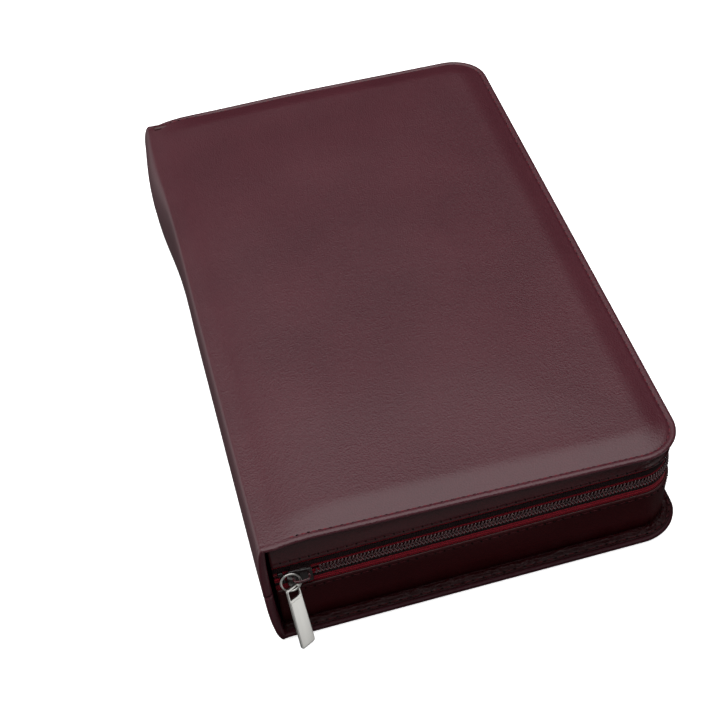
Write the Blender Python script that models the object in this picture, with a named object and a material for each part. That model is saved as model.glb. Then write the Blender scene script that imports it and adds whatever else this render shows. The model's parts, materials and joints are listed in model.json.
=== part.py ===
"""A zip-round leather bible, closed and lying on its back cover.

The leather case is also the binding. Back and front covers are padded boards in leather, the spine joins
them, and a gusset with a coil zip runs round the tail, fore-edge and head. The leaves are inside, in a front
half that turns with the front cover and a rear half that stays on the back cover.

Frame: +X from the spine to the fore-edge, +Y from the tail to the head, +Z up. The origin is the middle of
the back cover's underside. Run: blender --background --python part.py
"""

import math

import bmesh
import bpy
from mathutils import Matrix, Vector

MM = 0.001
GAP = 0.3 * MM  # between pieces that touch

# ---- the closed case
COVER_WIDTH = 130 * MM  # from the hinge crease to the fore-edge
COVER_HEIGHT = 225 * MM  # tail to head
SPINE_THICKNESS = 44 * MM  # over both covers, at the spine
FORE_DROP = 6 * MM  # the front cover lies this much lower at the fore-edge
CORNER_RADIUS = 13.5 * MM
SPINE_OVERHANG = 4 * MM  # the spine's outer face stands past the creases
SPINE_ROUND = 4.5 * MM  # outer radius where a cover turns into the spine
CREASE_X = -COVER_WIDTH / 2
CORNER_STEPS = 9  # straight pieces in each rounded corner
FORE_SLOPE = FORE_DROP / COVER_WIDTH

# ---- layers of a cover, from the outside in
LEATHER = 1.2 * MM
PADDING = 1.5 * MM
BOARD = 1.8 * MM
LINING = 0.5 * MM
COVER_STACK = LEATHER + PADDING + BOARD + LINING + 3 * GAP

# ---- gusset and zip. "Inset" is measured inwards from the covers' outer edge
FLANGE_INSET = 0.4 * MM  # outer edge of the gusset's sewn flange
LOWER_WALL = (4.6 * MM, 2.0 * MM)  # inset of the wall's outer face at the cover and at the zip
UPPER_WALL = (2.8 * MM, 1.4 * MM)
GUSSET_LEATHER = 1.0 * MM
MIDDLE_Z = SPINE_THICKNESS / 2
ZIP_Z = 26.0 * MM  # the zip runs above the middle
LOWER_TO_ZIP = 5.4 * MM  # from the zip's middle to the lower wall's edge
UPPER_TO_ZIP = 6.0 * MM
TAPE = 0.6 * MM
TAPE_INSET = 3.7 * MM  # outer face of the tapes
TAPE_HIDDEN = 2.5 * MM  # tape sewn behind each gusset wall
ZIP_SPLIT = 0.6 * MM  # half of the slot that the slider's post runs in
COIL_REACH = 2.3 * MM  # from the zip's middle to a coil's outer side
COIL_DEPTH = 1.1 * MM
COIL_INSET = 2.3 * MM  # outer face of the coils
STOP_LENGTH = 1.6 * MM  # of the stop at the closed end of each coil
STOP_TO_SLIDER = 0.8 * MM
BOTTOM_STOP_LENGTH = 3 * MM
BOTTOM_STOP_START = 0.5 * MM  # from the gussets' end
GUSSET_START = CREASE_X + 0.8 * MM  # both gussets end here, beside the spine
BOARD_INSET = LOWER_WALL[0] + GUSSET_LEATHER + GAP  # the boards lie inside the lower wall
SPINE_BOARD = 1.2 * MM
SPINE_BOARD_END, SPINE_LINING_END = 6 * MM, 5 * MM  # from the case's faces

# ---- leaves
LEAF_INSET = 11 * MM  # from the covers' edge to the leaves' edge
LEAF_SPINE_X = CREASE_X + 4 * MM
LEAF_CORNER = 8 * MM
ENDLEAF = 0.3 * MM
SECTIONS = 3  # groups of sewn signatures in each half
MULL = 0.8 * MM  # gauze and paper glued on the leaves' spine edge
MULL_SHORT = 1 * MM  # shorter than the leaves at each end
BAND_RADIUS = 0.9 * MM
RIBBON_WIDTH = 10 * MM
RIBBON = 0.3 * MM
RIBBON_IN, RIBBON_SHORT = 3 * MM, 2 * MM  # from the spine edge and from each end of the leaves
RIBBON_DRIFT = 22 * MM  # towards the fore-edge, from head to tail
MIDDLE_GAP = RIBBON + 2 * GAP  # between the two halves, where the ribbon lies

# ---- slider, ring and pull
SLIDER_LENGTH = 8 * MM
SLIDER_START = CREASE_X + 4.5 * MM
SLIDER_HALF = 3.4 * MM  # half of its height
SLIDER_FACE = 0.8 * MM  # inset of its outer face
SLIDER_PLATE = 1.0 * MM
SLIDER_FLANGE_END = 3.1 * MM  # inset of the flanges' inner ends
SLIDER_FLANGE = 0.7 * MM
SLIDER_BACK_INSET = 4.6 * MM  # outer face of the plate behind the tapes
SLIDER_BACK = 0.8 * MM
COIL_CLEARANCE = 0.9 * MM  # the front coil swings towards the slider as the cover opens
POST_HALF = 0.3 * MM
POST_LENGTH = 2 * MM
BAIL_START, BAIL_END = 1.6 * MM, 7.2 * MM  # from the slider's spine end
BAIL_OUTER = -1.6 * MM  # inset of its crown, which stands out past the covers
BAIL_METAL = 0.7 * MM
BAIL_BEND = 1.2 * MM
BAIL_HALF = 0.6 * MM
BAIL_Z = ZIP_Z + 0.5 * MM
RING_RADIUS = 3.0 * MM  # to the middle of the wire
RING_WIRE = 0.35 * MM  # half of its thickness
RING_TILT = math.radians(14.5)  # its bottom hangs outwards
RING_INSET = -0.43 * MM
RING_X, RING_Z = SLIDER_START + 0.93 * MM, ZIP_Z + 0.28 * MM
TAB_LENGTH = 24.1 * MM
TAB_WIDTH_TOP, TAB_WIDTH_END = 4.8 * MM, 5.4 * MM
TAB_METAL = 0.8 * MM
TAB_TILT, TAB_LEAN = math.radians(9), math.radians(2)  # outwards, and towards the fore-edge
TAB_TWIST = math.radians(32)  # about its own length
TAB_CORNER, SLOT_CORNER = 0.8 * MM, 0.3 * MM
TAB_BAR = 0.7 * MM  # width of the bar that hangs on the ring
TAB_SIDE = 0.5 * MM  # width of the metal on each side of the slot
TAB_PLAY = 0.4 * MM  # between the bar and the ring
TAB_SLOT = 3.6 * MM

# ---- hinge axes, all parallel to Y. A leather hinge turns about the leather's own outer skin
ROUND_MID = SPINE_ROUND * math.sqrt(0.5)
ROUND_CENTRE_X = CREASE_X - SPINE_OVERHANG + SPINE_ROUND
HINGE_X = ROUND_CENTRE_X - ROUND_MID
LOWER_HINGE_Z = SPINE_ROUND - ROUND_MID
UPPER_HINGE_Z = SPINE_THICKNESS - LOWER_HINGE_Z
LEAF_HINGE_X = LEAF_SPINE_X - MULL - 3 * GAP

EDGE_X, EDGE_Y = COVER_WIDTH / 2, COVER_HEIGHT / 2


# ---------------------------------------------------------------- scene, materials and bodies
def clear_scene():
    for obj in list(bpy.data.objects):
        bpy.data.objects.remove(obj)


def material(name, colour, roughness, metallic=0.0):
    made = bpy.data.materials.new(name)
    made.use_nodes = True
    shader = made.node_tree.nodes["Principled BSDF"]
    shader.inputs["Base Color"].default_value = (*colour, 1)
    shader.inputs["Roughness"].default_value = roughness
    shader.inputs["Metallic"].default_value = metallic
    return made


def body(name, pivot=(0, 0, 0)):
    """An empty on a joint's axis, which the pieces that move together are parented to."""
    empty = bpy.data.objects.new(name, None)
    empty.location = pivot
    bpy.context.scene.collection.objects.link(empty)
    return empty


def add(name, bm, finish, parent):
    """Makes one object from a bmesh in world coordinates, and parents it to its body's empty."""
    bmesh.ops.recalc_face_normals(bm, faces=bm.faces)
    if bm.calc_volume(signed=True) < 0:
        bmesh.ops.reverse_faces(bm, faces=bm.faces)
    mesh = bpy.data.meshes.new(name)
    bmesh.ops.translate(bm, vec=-Vector(parent.location), verts=bm.verts)
    bm.to_mesh(mesh)
    bm.free()
    mesh.materials.append(finish)
    obj = bpy.data.objects.new(name, mesh)
    bpy.context.scene.collection.objects.link(obj)
    obj.parent = parent
    return obj


def smooth(obj, angle=35):
    obj.data.shade_smooth()
    obj.data.set_sharp_from_angle(angle=math.radians(angle))


def join_to(obj, other, operation="UNION"):
    """Boolean of obj with other, which is then only a hidden helper."""
    modifier = obj.modifiers.new(operation.lower(), "BOOLEAN")
    modifier.operation = operation
    modifier.solver = "EXACT"
    modifier.object = other
    other.hide_render = True
    other.display_type = "WIRE"


# ---------------------------------------------------------------- shapes
def prism(points, low, high, axis="z"):
    """Extrudes an outline of (x, y) points, or of (x, z) points for axis y, or of (y, z) points for axis x."""
    along = {"x": 0, "y": 1, "z": 2}[axis]

    def order(a, b, c):
        return Vector([a, b][:along] + [c] + [a, b][along:])

    bm = bmesh.new()
    face = bm.faces.new([bm.verts.new(order(a, b, low)) for a, b in points])
    made = bmesh.ops.extrude_face_region(bm, geom=[face])
    moved = [v for v in made["geom"] if isinstance(v, bmesh.types.BMVert)]
    bmesh.ops.translate(bm, vec=order(0, 0, high - low), verts=moved)
    return bm


def box(low, high):
    corners = [(low[0], low[1]), (high[0], low[1]), (high[0], high[1]), (low[0], high[1])]
    return prism(corners, low[2], high[2])


def arc(centre, radius, start, end, steps):
    """Points on an arc, with angles in degrees."""
    angles = [math.radians(start + (end - start) * i / steps) for i in range(steps + 1)]
    return [(centre[0] + radius * math.cos(a), centre[1] + radius * math.sin(a)) for a in angles]


def outline(inset, left, radius=None):
    """A cover's outline, square at the spine and round at the fore-edge."""
    right, half = EDGE_X - inset, EDGE_Y - inset
    radius = CORNER_RADIUS - inset if radius is None else radius
    tail = arc((right - radius, radius - half), radius, -90, 0, CORNER_STEPS)
    head = arc((right - radius, half - radius), radius, 0, 90, CORNER_STEPS)
    return [(left, -half), *tail, *head, (left, half)]


def zip_route(left):
    """(x, y, outward x, outward y) along the covers' edge, from the spine's tail end to its head end."""
    tail = arc((0, 0), 1, -90, 0, CORNER_STEPS)
    head = arc((0, 0), 1, 0, 90, CORNER_STEPS)
    cx, cy = EDGE_X - CORNER_RADIUS, EDGE_Y - CORNER_RADIUS
    stations = [(left, -EDGE_Y, 0, -1)]
    stations += [(cx + CORNER_RADIUS * a, CORNER_RADIUS * b - cy, a, b) for a, b in tail]
    stations += [(cx + CORNER_RADIUS * a, CORNER_RADIUS * b + cy, a, b) for a, b in head]
    return [*stations, (left, EDGE_Y, 0, 1)]


def sweep(profile, left):
    """Carries a closed profile of (inset, z) points along the zip's route, with both ends closed."""
    bm = bmesh.new()
    rings = [
        [bm.verts.new((x - out_x * inset, y - out_y * inset, z)) for inset, z in profile]
        for x, y, out_x, out_y in zip_route(left)
    ]
    count = len(profile)
    for one, two in zip(rings, rings[1:]):
        for i in range(count):
            bm.faces.new([one[i], one[(i + 1) % count], two[(i + 1) % count], two[i]])
    bm.faces.new(rings[0][::-1])
    bm.faces.new(rings[-1])
    return bm


def rectangle(inset, depth, low, high):
    return [(inset, low), (inset + depth, low), (inset + depth, high), (inset, high)]


def slope_down(bm, still_z, full_z):
    """Lowers points towards the fore-edge: not at all at still_z, and with the front cover from full_z up."""
    for v in bm.verts:
        share = min(1, max(0, (v.co.z - still_z) / (full_z - still_z)))
        v.co.z -= share * FORE_SLOPE * (v.co.x - CREASE_X)
    return bm


def turn_over(bm):
    """The front cover's pieces are the back cover's, upside down."""
    for v in bm.verts:
        v.co.z = SPINE_THICKNESS - v.co.z
    return bm


# ---------------------------------------------------------------- covers, gussets and zip
def half_case(side, parent, looks):
    """One cover with its gusset, tape and coil. The front ones are turned over and sloped."""
    front = side == "front"
    level = "upper" if front else "lower"

    def shaped(bm, still_z=0.0, full_z=1 * MM):
        return slope_down(turn_over(bm), still_z, full_z) if front else bm

    sheet = shaped(prism(outline(0, ROUND_CENTRE_X), 0, LEATHER))
    leather = add(f"{side}_cover_leather", sheet, looks["leather"], parent)
    wrap = add(f"{side}_wrap_helper", shaped(spine_round()), looks["leather"], parent)
    join_to(leather, wrap)

    z = LEATHER + GAP
    for layer, thickness, left in (
        ("padding", PADDING, CREASE_X + 2 * MM),
        ("board", BOARD, CREASE_X + 2 * MM),
        ("lining", LINING, CREASE_X + 1 * MM),
    ):
        piece = shaped(prism(outline(BOARD_INSET, left), z, z + thickness))
        add(f"{side}_cover_{layer}", piece, looks[layer], parent)
        z += thickness + GAP

    flange = LEATHER + GAP
    zip_depth = SPINE_THICKNESS - ZIP_Z if front else ZIP_Z
    wall_end = zip_depth - (UPPER_TO_ZIP if front else LOWER_TO_ZIP)
    foot, edge = UPPER_WALL if front else LOWER_WALL
    gusset = [
        (FLANGE_INSET, flange),
        (foot + GUSSET_LEATHER, flange),
        (edge + GUSSET_LEATHER, wall_end),
        (edge, wall_end),
        (foot, flange + GUSSET_LEATHER),
        (FLANGE_INSET, flange + GUSSET_LEATHER),
    ]
    still, full = SPINE_THICKNESS - wall_end, SPINE_THICKNESS - flange - GUSSET_LEATHER
    smooth(add(f"{level}_gusset", shaped(sweep(gusset, GUSSET_START), still, full), looks["leather"], parent))

    tape = rectangle(TAPE_INSET, TAPE, wall_end - TAPE_HIDDEN, zip_depth - ZIP_SPLIT)
    smooth(add(f"{level}_zip_tape", shaped(sweep(tape, GUSSET_START), still, full), looks["tape"], parent))

    coil = rectangle(COIL_INSET, COIL_DEPTH, zip_depth - COIL_REACH, zip_depth - ZIP_SPLIT)
    coil_start = SLIDER_START + SLIDER_LENGTH + GAP + (COIL_CLEARANCE if front else 0)
    smooth(add(f"{level}_zip_coil", shaped(sweep(coil, coil_start), still, full), looks["coil"], parent))

    stop_end = SLIDER_START - STOP_TO_SLIDER + (0 if front else 0.4 * MM)
    stop_y = COIL_INSET - EDGE_Y
    stop = box(
        (stop_end - STOP_LENGTH, stop_y, zip_depth - COIL_REACH),
        (stop_end, stop_y + COIL_DEPTH, zip_depth - ZIP_SPLIT),
    )
    add(f"{level}_top_stop", shaped(stop, still, full), looks["coil"], parent)


def spine_round():
    """The eighth-turn of leather from a cover's edge to its hinge axis, along the whole spine."""
    centre = (ROUND_CENTRE_X, SPINE_ROUND)
    half_gap = math.degrees(GAP / 2 / SPINE_ROUND)
    outer = arc(centre, SPINE_ROUND, -90, -135 + half_gap, 4)
    inner = arc(centre, SPINE_ROUND - LEATHER, -135 + half_gap, -90, 4)
    lap = 1 * MM
    profile = [(ROUND_CENTRE_X + lap, 0), *outer, *inner, (ROUND_CENTRE_X + lap, LEATHER)]
    return prism(profile, -EDGE_Y, EDGE_Y, "y")


def bottom_stop(parent, looks):
    """The box that joins both coils at the head end of the zip, beside the spine."""
    left = GUSSET_START + BOTTOM_STOP_START
    y = EDGE_Y - COIL_INSET + GAP
    end = (left + BOTTOM_STOP_LENGTH, y + COIL_DEPTH, ZIP_Z - ZIP_SPLIT)
    stop = box((left, y, ZIP_Z - COIL_REACH), end)
    add("zip_bottom_stop", stop, looks["coil"], parent)


def spine(parent, looks):
    half_gap = math.degrees(GAP / 2 / SPINE_ROUND)
    inner_radius = SPINE_ROUND - LEATHER
    low = (ROUND_CENTRE_X, SPINE_ROUND)
    high = (ROUND_CENTRE_X, SPINE_THICKNESS - SPINE_ROUND)
    outer = arc(high, SPINE_ROUND, 135 + half_gap, 180, 4) + arc(low, SPINE_ROUND, 180, 225 - half_gap, 4)
    inner = arc(low, inner_radius, 225 - half_gap, 180, 4) + arc(high, inner_radius, 180, 135 + half_gap, 4)
    smooth(add("spine_leather", prism(outer + inner, -EDGE_Y, EDGE_Y, "y"), looks["leather"], parent))

    x = CREASE_X - SPINE_OVERHANG + LEATHER + GAP
    half = EDGE_Y - BOARD_INSET
    layers = (("board", SPINE_BOARD, SPINE_BOARD_END), ("lining", LINING, SPINE_LINING_END))
    for layer, thickness, end in layers:
        piece = box((x, -half, end), (x + thickness, half, SPINE_THICKNESS - end))
        add(f"spine_{layer}", piece, looks[layer], parent)
        x += thickness + GAP


# ---------------------------------------------------------------- leaves
def leaves(side, parent, looks):
    """One half of the text block: its endleaf, sewn sections, mull and the two ends of the bands."""
    front = side == "front"
    still, full = MIDDLE_Z, SPINE_THICKNESS - COVER_STACK

    def shaped(bm):
        return slope_down(turn_over(bm), still, full) if front else bm

    low = COVER_STACK + GAP
    leaf_outline = outline(LEAF_INSET, LEAF_SPINE_X, LEAF_CORNER)
    add(f"{side}_endleaf", shaped(prism(leaf_outline, low, low + ENDLEAF)), looks["endleaf"], parent)

    low += ENDLEAF + GAP
    top = MIDDLE_Z - MIDDLE_GAP / 2
    thickness = (top - low - (SECTIONS - 1) * GAP) / SECTIONS
    for i in range(SECTIONS):
        z = low + i * (thickness + GAP)
        name = f"{side}_leaves_{i + 1}"
        smooth(add(name, shaped(prism(leaf_outline, z, z + thickness)), looks["paper"], parent))

    half = EDGE_Y - LEAF_INSET - MULL_SHORT
    right = LEAF_SPINE_X - GAP
    mull = box((right - MULL, -half, low), (right, half, top))
    add(f"{side}_mull", shaped(mull), looks["mull"], parent)
    for name, end in (("tailband", -1), ("headband", 1)):
        y = end * (EDGE_Y - LEAF_INSET + GAP + BAND_RADIUS)
        band = prism(arc((LEAF_SPINE_X + BAND_RADIUS, y), BAND_RADIUS, 0, 330, 11), low, top)
        smooth(add(f"{side}_{name}", shaped(band), looks["band"], parent))


def ribbon(parent, looks):
    """The page marker. It is glued at the head of the spine and lies slantwise across the open page."""
    low = MIDDLE_Z - RIBBON / 2
    head, tail = EDGE_Y - LEAF_INSET - RIBBON_SHORT, RIBBON_SHORT + LEAF_INSET - EDGE_Y
    left = LEAF_SPINE_X + RIBBON_IN
    right = left + RIBBON_WIDTH
    points = [(left, head), (right, head), (right + RIBBON_DRIFT, tail), (left + RIBBON_DRIFT, tail)]
    add("ribbon_marker", prism(points, low, low + RIBBON), looks["ribbon"], parent)


# ---------------------------------------------------------------- slider, ring and pull
def slider(parent, looks):
    """The body is one casting: a channel over the coils, a plate behind the tapes and a post between."""
    face = SLIDER_FACE - EDGE_Y
    plate = face + SLIDER_PLATE
    flange = SLIDER_FLANGE_END - EDGE_Y
    low, high = ZIP_Z - SLIDER_HALF, ZIP_Z + SLIDER_HALF
    channel = [
        (face, low),
        (flange, low),
        (flange, low + SLIDER_FLANGE),
        (plate, low + SLIDER_FLANGE),
        (plate, high - SLIDER_FLANGE),
        (flange, high - SLIDER_FLANGE),
        (flange, high),
        (face, high),
    ]
    end = SLIDER_START + SLIDER_LENGTH
    slider_body = add("slider_body", prism(channel, SLIDER_START, end, "x"), looks["slider"], parent)
    back = SLIDER_BACK_INSET - EDGE_Y
    back_plate = box((SLIDER_START, back, low), (end, back + SLIDER_BACK, high))
    join_to(slider_body, add("slider_back_helper", back_plate, looks["slider"], parent))
    lap = 0.4 * MM
    post = box(
        (SLIDER_START, plate - lap, ZIP_Z - POST_HALF),
        (SLIDER_START + POST_LENGTH, back + lap, ZIP_Z + POST_HALF),
    )
    join_to(slider_body, add("slider_post_helper", post, looks["slider"], parent))

    foot = SLIDER_FACE - GAP - EDGE_Y
    crown, inner = BAIL_OUTER - EDGE_Y, BAIL_OUTER + BAIL_METAL - EDGE_Y
    left, right = SLIDER_START + BAIL_START, SLIDER_START + BAIL_END
    bend, tight = BAIL_BEND, BAIL_BEND - BAIL_METAL
    arch = [
        (left, foot),
        *arc((left + bend, crown + bend), bend, 180, 270, 4),
        *arc((right - bend, crown + bend), bend, 270, 360, 4),
        (right, foot),
        (right - BAIL_METAL, foot),
        *arc((right - bend, inner + tight), tight, 360, 270, 4),
        *arc((left + bend, inner + tight), tight, 270, 180, 4),
        (left + BAIL_METAL, foot),
    ]
    smooth(add("slider_bail", prism(arch, BAIL_Z - BAIL_HALF, BAIL_Z + BAIL_HALF), looks["slider"], parent))


def ring_frame():
    """The ring's centre, and its directions across and towards its bottom."""
    centre = Vector((RING_X, RING_INSET - EDGE_Y, RING_Z))
    return centre, Vector((1, 0, 0)), Vector((0, -math.sin(RING_TILT), -math.cos(RING_TILT)))


def ring(parent, looks):
    centre, across, down = ring_frame()
    curve = bpy.data.curves.new("pull_ring", "CURVE")
    curve.dimensions = "3D"
    curve.bevel_depth = RING_WIRE
    curve.bevel_resolution = 2
    spline = curve.splines.new("POLY")
    points = arc((0, 0), RING_RADIUS, 0, 345, 23)
    spline.points.add(len(points) - 1)
    for point, (sideways, drop) in zip(spline.points, points):
        place = centre + across * sideways + down * drop - Vector(parent.location)
        point.co = (*place, 1)
    spline.use_cyclic_u = True
    curve.materials.append(looks["metal"])
    obj = bpy.data.objects.new("pull_ring", curve)
    bpy.context.scene.collection.objects.link(obj)
    obj.parent = parent


def tab_turn():
    """How the tab hangs: its end rests near the table, and it is twisted towards the fore-edge."""
    lean, tilt = Matrix.Rotation(-TAB_LEAN, 4, "Y"), Matrix.Rotation(-TAB_TILT, 4, "X")
    return lean @ tilt @ Matrix.Rotation(TAB_TWIST, 4, "Z")


def pull_tab(parent, looks):
    """A flat pull that widens downwards. Its top bar hangs in the ring, through the slot under it."""
    corner, slot_corner = TAB_CORNER, SLOT_CORNER
    top, end = TAB_WIDTH_TOP / 2, TAB_WIDTH_END / 2
    bar_middle = TAB_BAR / 2
    low = bar_middle - TAB_LENGTH
    shape = (
        arc((corner - end, low + corner), corner, 180, 270, 3)
        + arc((end - corner, low + corner), corner, 270, 360, 3)
        + arc((top - corner, bar_middle - corner), corner, 0, 90, 3)
        + arc((corner - top, bar_middle - corner), corner, 90, 180, 3)
    )
    tab = prism(shape, -TAB_METAL / 2, TAB_METAL / 2, "y")
    side = top - TAB_SIDE
    slot_top, slot_low = -bar_middle, -bar_middle - TAB_SLOT
    slot_shape = (
        arc((slot_corner - side, slot_low + slot_corner), slot_corner, 180, 270, 2)
        + arc((side - slot_corner, slot_low + slot_corner), slot_corner, 270, 360, 2)
        + arc((side - slot_corner, slot_top - slot_corner), slot_corner, 0, 90, 2)
        + arc((slot_corner - side, slot_top - slot_corner), slot_corner, 90, 180, 2)
    )
    slot = prism(slot_shape, -2 * TAB_METAL, 2 * TAB_METAL, "y")
    turn = tab_turn()
    for bm in (tab, slot):
        bmesh.ops.transform(bm, matrix=Matrix.Translation(parent.location) @ turn, verts=bm.verts)
    obj = add("pull_tab", tab, looks["metal"], parent)
    join_to(obj, add("pull_slot_helper", slot, looks["metal"], parent), "DIFFERENCE")


# ---------------------------------------------------------------- the whole bible
def main():
    clear_scene()
    burgundy = (0.115, 0.045, 0.052)
    looks = {
        "leather": material("burgundy_leather", burgundy, 0.42),
        "padding": material("foam", (0.75, 0.72, 0.62), 0.9),
        "board": material("greyboard", (0.42, 0.38, 0.33), 0.85),
        "lining": material("lining_paper", (0.13, 0.03, 0.035), 0.7),
        "tape": material("zip_tape", (0.11, 0.012, 0.017), 0.8),
        "coil": material("zip_coil", (0.03, 0.018, 0.018), 0.4),
        "slider": material("painted_slider", (0.15, 0.02, 0.03), 0.35, 0.4),
        "metal": material("satin_nickel", (0.7, 0.7, 0.68), 0.3, 1.0),
        "paper": material("bible_paper", (0.86, 0.8, 0.68), 0.75),
        "endleaf": material("endleaf_paper", (0.13, 0.03, 0.035), 0.7),
        "mull": material("mull", (0.78, 0.75, 0.68), 0.9),
        "band": material("headband_silk", (0.75, 0.58, 0.2), 0.6),
        "ribbon": material("ribbon_satin", (0.35, 0.02, 0.03), 0.45),
    }
    back = body("back_case")
    spine_body = body("spine", (HINGE_X, 0, LOWER_HINGE_Z))
    front = body("front_case", (HINGE_X, 0, UPPER_HINGE_Z))
    front_leaves = body("front_leaves", (LEAF_HINGE_X, 0, MIDDLE_Z))
    slider_body = body("slider", (SLIDER_START, -EDGE_Y, ZIP_Z))
    bail_foot = SLIDER_START + BAIL_START + BAIL_METAL / 2
    ring_body = body("pull_ring_axis", (bail_foot, RING_INSET - EDGE_Y, BAIL_Z))
    ring_centre, _, down = ring_frame()
    tab_body = body("pull_tab_axis", ring_centre + down * (RING_RADIUS - RING_WIRE - TAB_BAR / 2 - TAB_PLAY))

    half_case("back", back, looks)
    half_case("front", front, looks)
    bottom_stop(back, looks)
    spine(spine_body, looks)
    leaves("rear", back, looks)
    leaves("front", front_leaves, looks)
    ribbon(back, looks)
    slider(slider_body, looks)
    ring(ring_body, looks)
    pull_tab(tab_body, looks)


main()
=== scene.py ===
"""The looks of a zip-round leather bible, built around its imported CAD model.

Everything is in metres, in the model's own frame: +X from the spine to the fore-edge, +Y from the tail to
the head, +Z up, with the origin in the middle of the back cover's underside. Most pieces follow the covers'
edge: "inset" is a distance inwards from that edge, and "along" is the length along it, starting beside the
spine at the tail, round the fore-edge, and ending beside the spine at the head.
"""

import json
import math
import random

import bmesh
import bpy
from mathutils import Matrix, Vector, noise


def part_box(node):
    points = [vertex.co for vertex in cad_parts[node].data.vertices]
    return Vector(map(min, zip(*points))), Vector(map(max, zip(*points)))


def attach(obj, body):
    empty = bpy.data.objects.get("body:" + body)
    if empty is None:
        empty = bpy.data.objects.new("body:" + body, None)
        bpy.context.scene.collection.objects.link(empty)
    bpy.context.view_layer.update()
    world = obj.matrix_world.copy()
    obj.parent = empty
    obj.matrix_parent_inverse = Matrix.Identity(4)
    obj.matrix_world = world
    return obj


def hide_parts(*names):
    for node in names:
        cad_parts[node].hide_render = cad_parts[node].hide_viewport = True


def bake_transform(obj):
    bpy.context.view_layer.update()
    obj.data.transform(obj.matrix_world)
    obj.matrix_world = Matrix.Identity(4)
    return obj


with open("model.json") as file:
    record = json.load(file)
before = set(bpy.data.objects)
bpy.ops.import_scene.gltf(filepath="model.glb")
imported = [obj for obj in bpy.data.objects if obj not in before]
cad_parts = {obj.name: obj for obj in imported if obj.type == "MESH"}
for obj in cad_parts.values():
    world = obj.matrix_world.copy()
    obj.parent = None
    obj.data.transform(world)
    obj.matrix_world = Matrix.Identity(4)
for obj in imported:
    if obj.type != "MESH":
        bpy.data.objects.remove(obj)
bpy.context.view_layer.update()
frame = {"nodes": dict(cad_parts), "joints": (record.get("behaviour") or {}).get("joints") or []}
JOINTS = {joint["child"]: joint for joint in frame["joints"]}

MM = 0.001

# ---- sizes from the frame
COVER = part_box("back_cover_leather")
EDGE_X, EDGE_Y = COVER[1].x, COVER[1].y
CREASE_X = -EDGE_X
SPINE_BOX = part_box("spine_leather")
THICKNESS = SPINE_BOX[0].z + SPINE_BOX[1].z
SPINE_X = SPINE_BOX[0].x
LEATHER = 1.2 * MM
FORE_SLOPE = (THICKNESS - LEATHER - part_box("front_cover_leather")[0].z) / (EDGE_X - CREASE_X)
CORNER_RADIUS = 13.5 * MM
LOWER_WALL_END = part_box("lower_gusset")[1].z
UPPER_WALL_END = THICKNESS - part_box("upper_gusset")[0].z
GUSSET_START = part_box("lower_gusset")[0].x
ZIP_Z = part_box("slider_body")[0].z / 2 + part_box("slider_body")[1].z / 2
WALLS = {"lower": (4.6 * MM, 2.0 * MM), "upper": (2.8 * MM, 1.4 * MM)}  # inset at the foot and at the zip
WALL_LEATHER = 1 * MM
FLANGE = 1.5 * MM  # from a cover's outer plane to the gusset's flange
FLANGE_LEATHER = 1 * MM
FLANGE_TOP = FLANGE + FLANGE_LEATHER
TAPE_INSET = EDGE_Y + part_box("lower_zip_tape")[0].y - 0.9 * MM  # the zip bulges a little


# ---------------------------------------------------------------- meshes
def link(name, mesh):
    obj = bpy.data.objects.new(name, mesh)
    bpy.context.scene.collection.objects.link(obj)
    return obj


def mesh_of(name, points, faces, uvs=None):
    """An object from points and faces. uvs holds one (u, v) for each point, in metres."""
    mesh = bpy.data.meshes.new(name)
    mesh.from_pydata([tuple(p) for p in points], [], faces)
    mesh.validate()
    if uvs:
        layer = mesh.uv_layers.new(name="metres")
        for loop in mesh.loops:
            layer.data[loop.index].uv = uvs[loop.vertex_index]
    mesh.shade_smooth()
    return link(name, mesh)


def grid_faces(rows, columns, round_columns=False, start=0):
    """Quads of a grid of points stored row after row."""
    faces = []
    for i in range(rows - 1):
        for j in range(columns if round_columns else columns - 1):
            k = (j + 1) % columns
            a, b = start + i * columns, start + (i + 1) * columns
            faces.append((a + j, a + k, b + k, b + j))
    return faces


def turn_out(obj):
    """Makes a closed mesh's faces point outwards."""
    bm = bmesh.new()
    bm.from_mesh(obj.data)
    bmesh.ops.recalc_face_normals(bm, faces=bm.faces)
    if bm.calc_volume(signed=True) < 0:
        bmesh.ops.reverse_faces(bm, faces=bm.faces)
    bm.to_mesh(obj.data)
    bm.free()
    return obj


def freeze(obj):
    """Applies an object's modifiers, and turns a curve into a mesh."""
    graph = bpy.context.evaluated_depsgraph_get()
    mesh = bpy.data.meshes.new_from_object(obj.evaluated_get(graph))
    name = obj.name
    bpy.data.objects.remove(obj)
    mesh.name = name
    return link(name, mesh)


def bevelled(obj, width, segments=3, angle=30):
    modifier = obj.modifiers.new("bevel", "BEVEL")
    modifier.width = width
    modifier.segments = segments
    modifier.limit_method = "ANGLE"
    modifier.angle_limit = math.radians(angle)
    modifier.harden_normals = True
    obj.data.shade_smooth()
    return freeze(obj)


def thickened(obj, thickness):
    """Gives a sheet a thickness, on the side away from its normals."""
    modifier = obj.modifiers.new("thickness", "SOLIDIFY")
    modifier.thickness = thickness
    modifier.offset = -1
    return freeze(obj)


def joined(name, objects):
    """Joins objects of one material into one."""
    bm = bmesh.new()
    for obj in objects:
        bm.from_mesh(obj.data)
        bpy.data.objects.remove(obj)
    mesh = bpy.data.meshes.new(name)
    bm.to_mesh(mesh)
    bm.free()
    return link(name, mesh)


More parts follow.
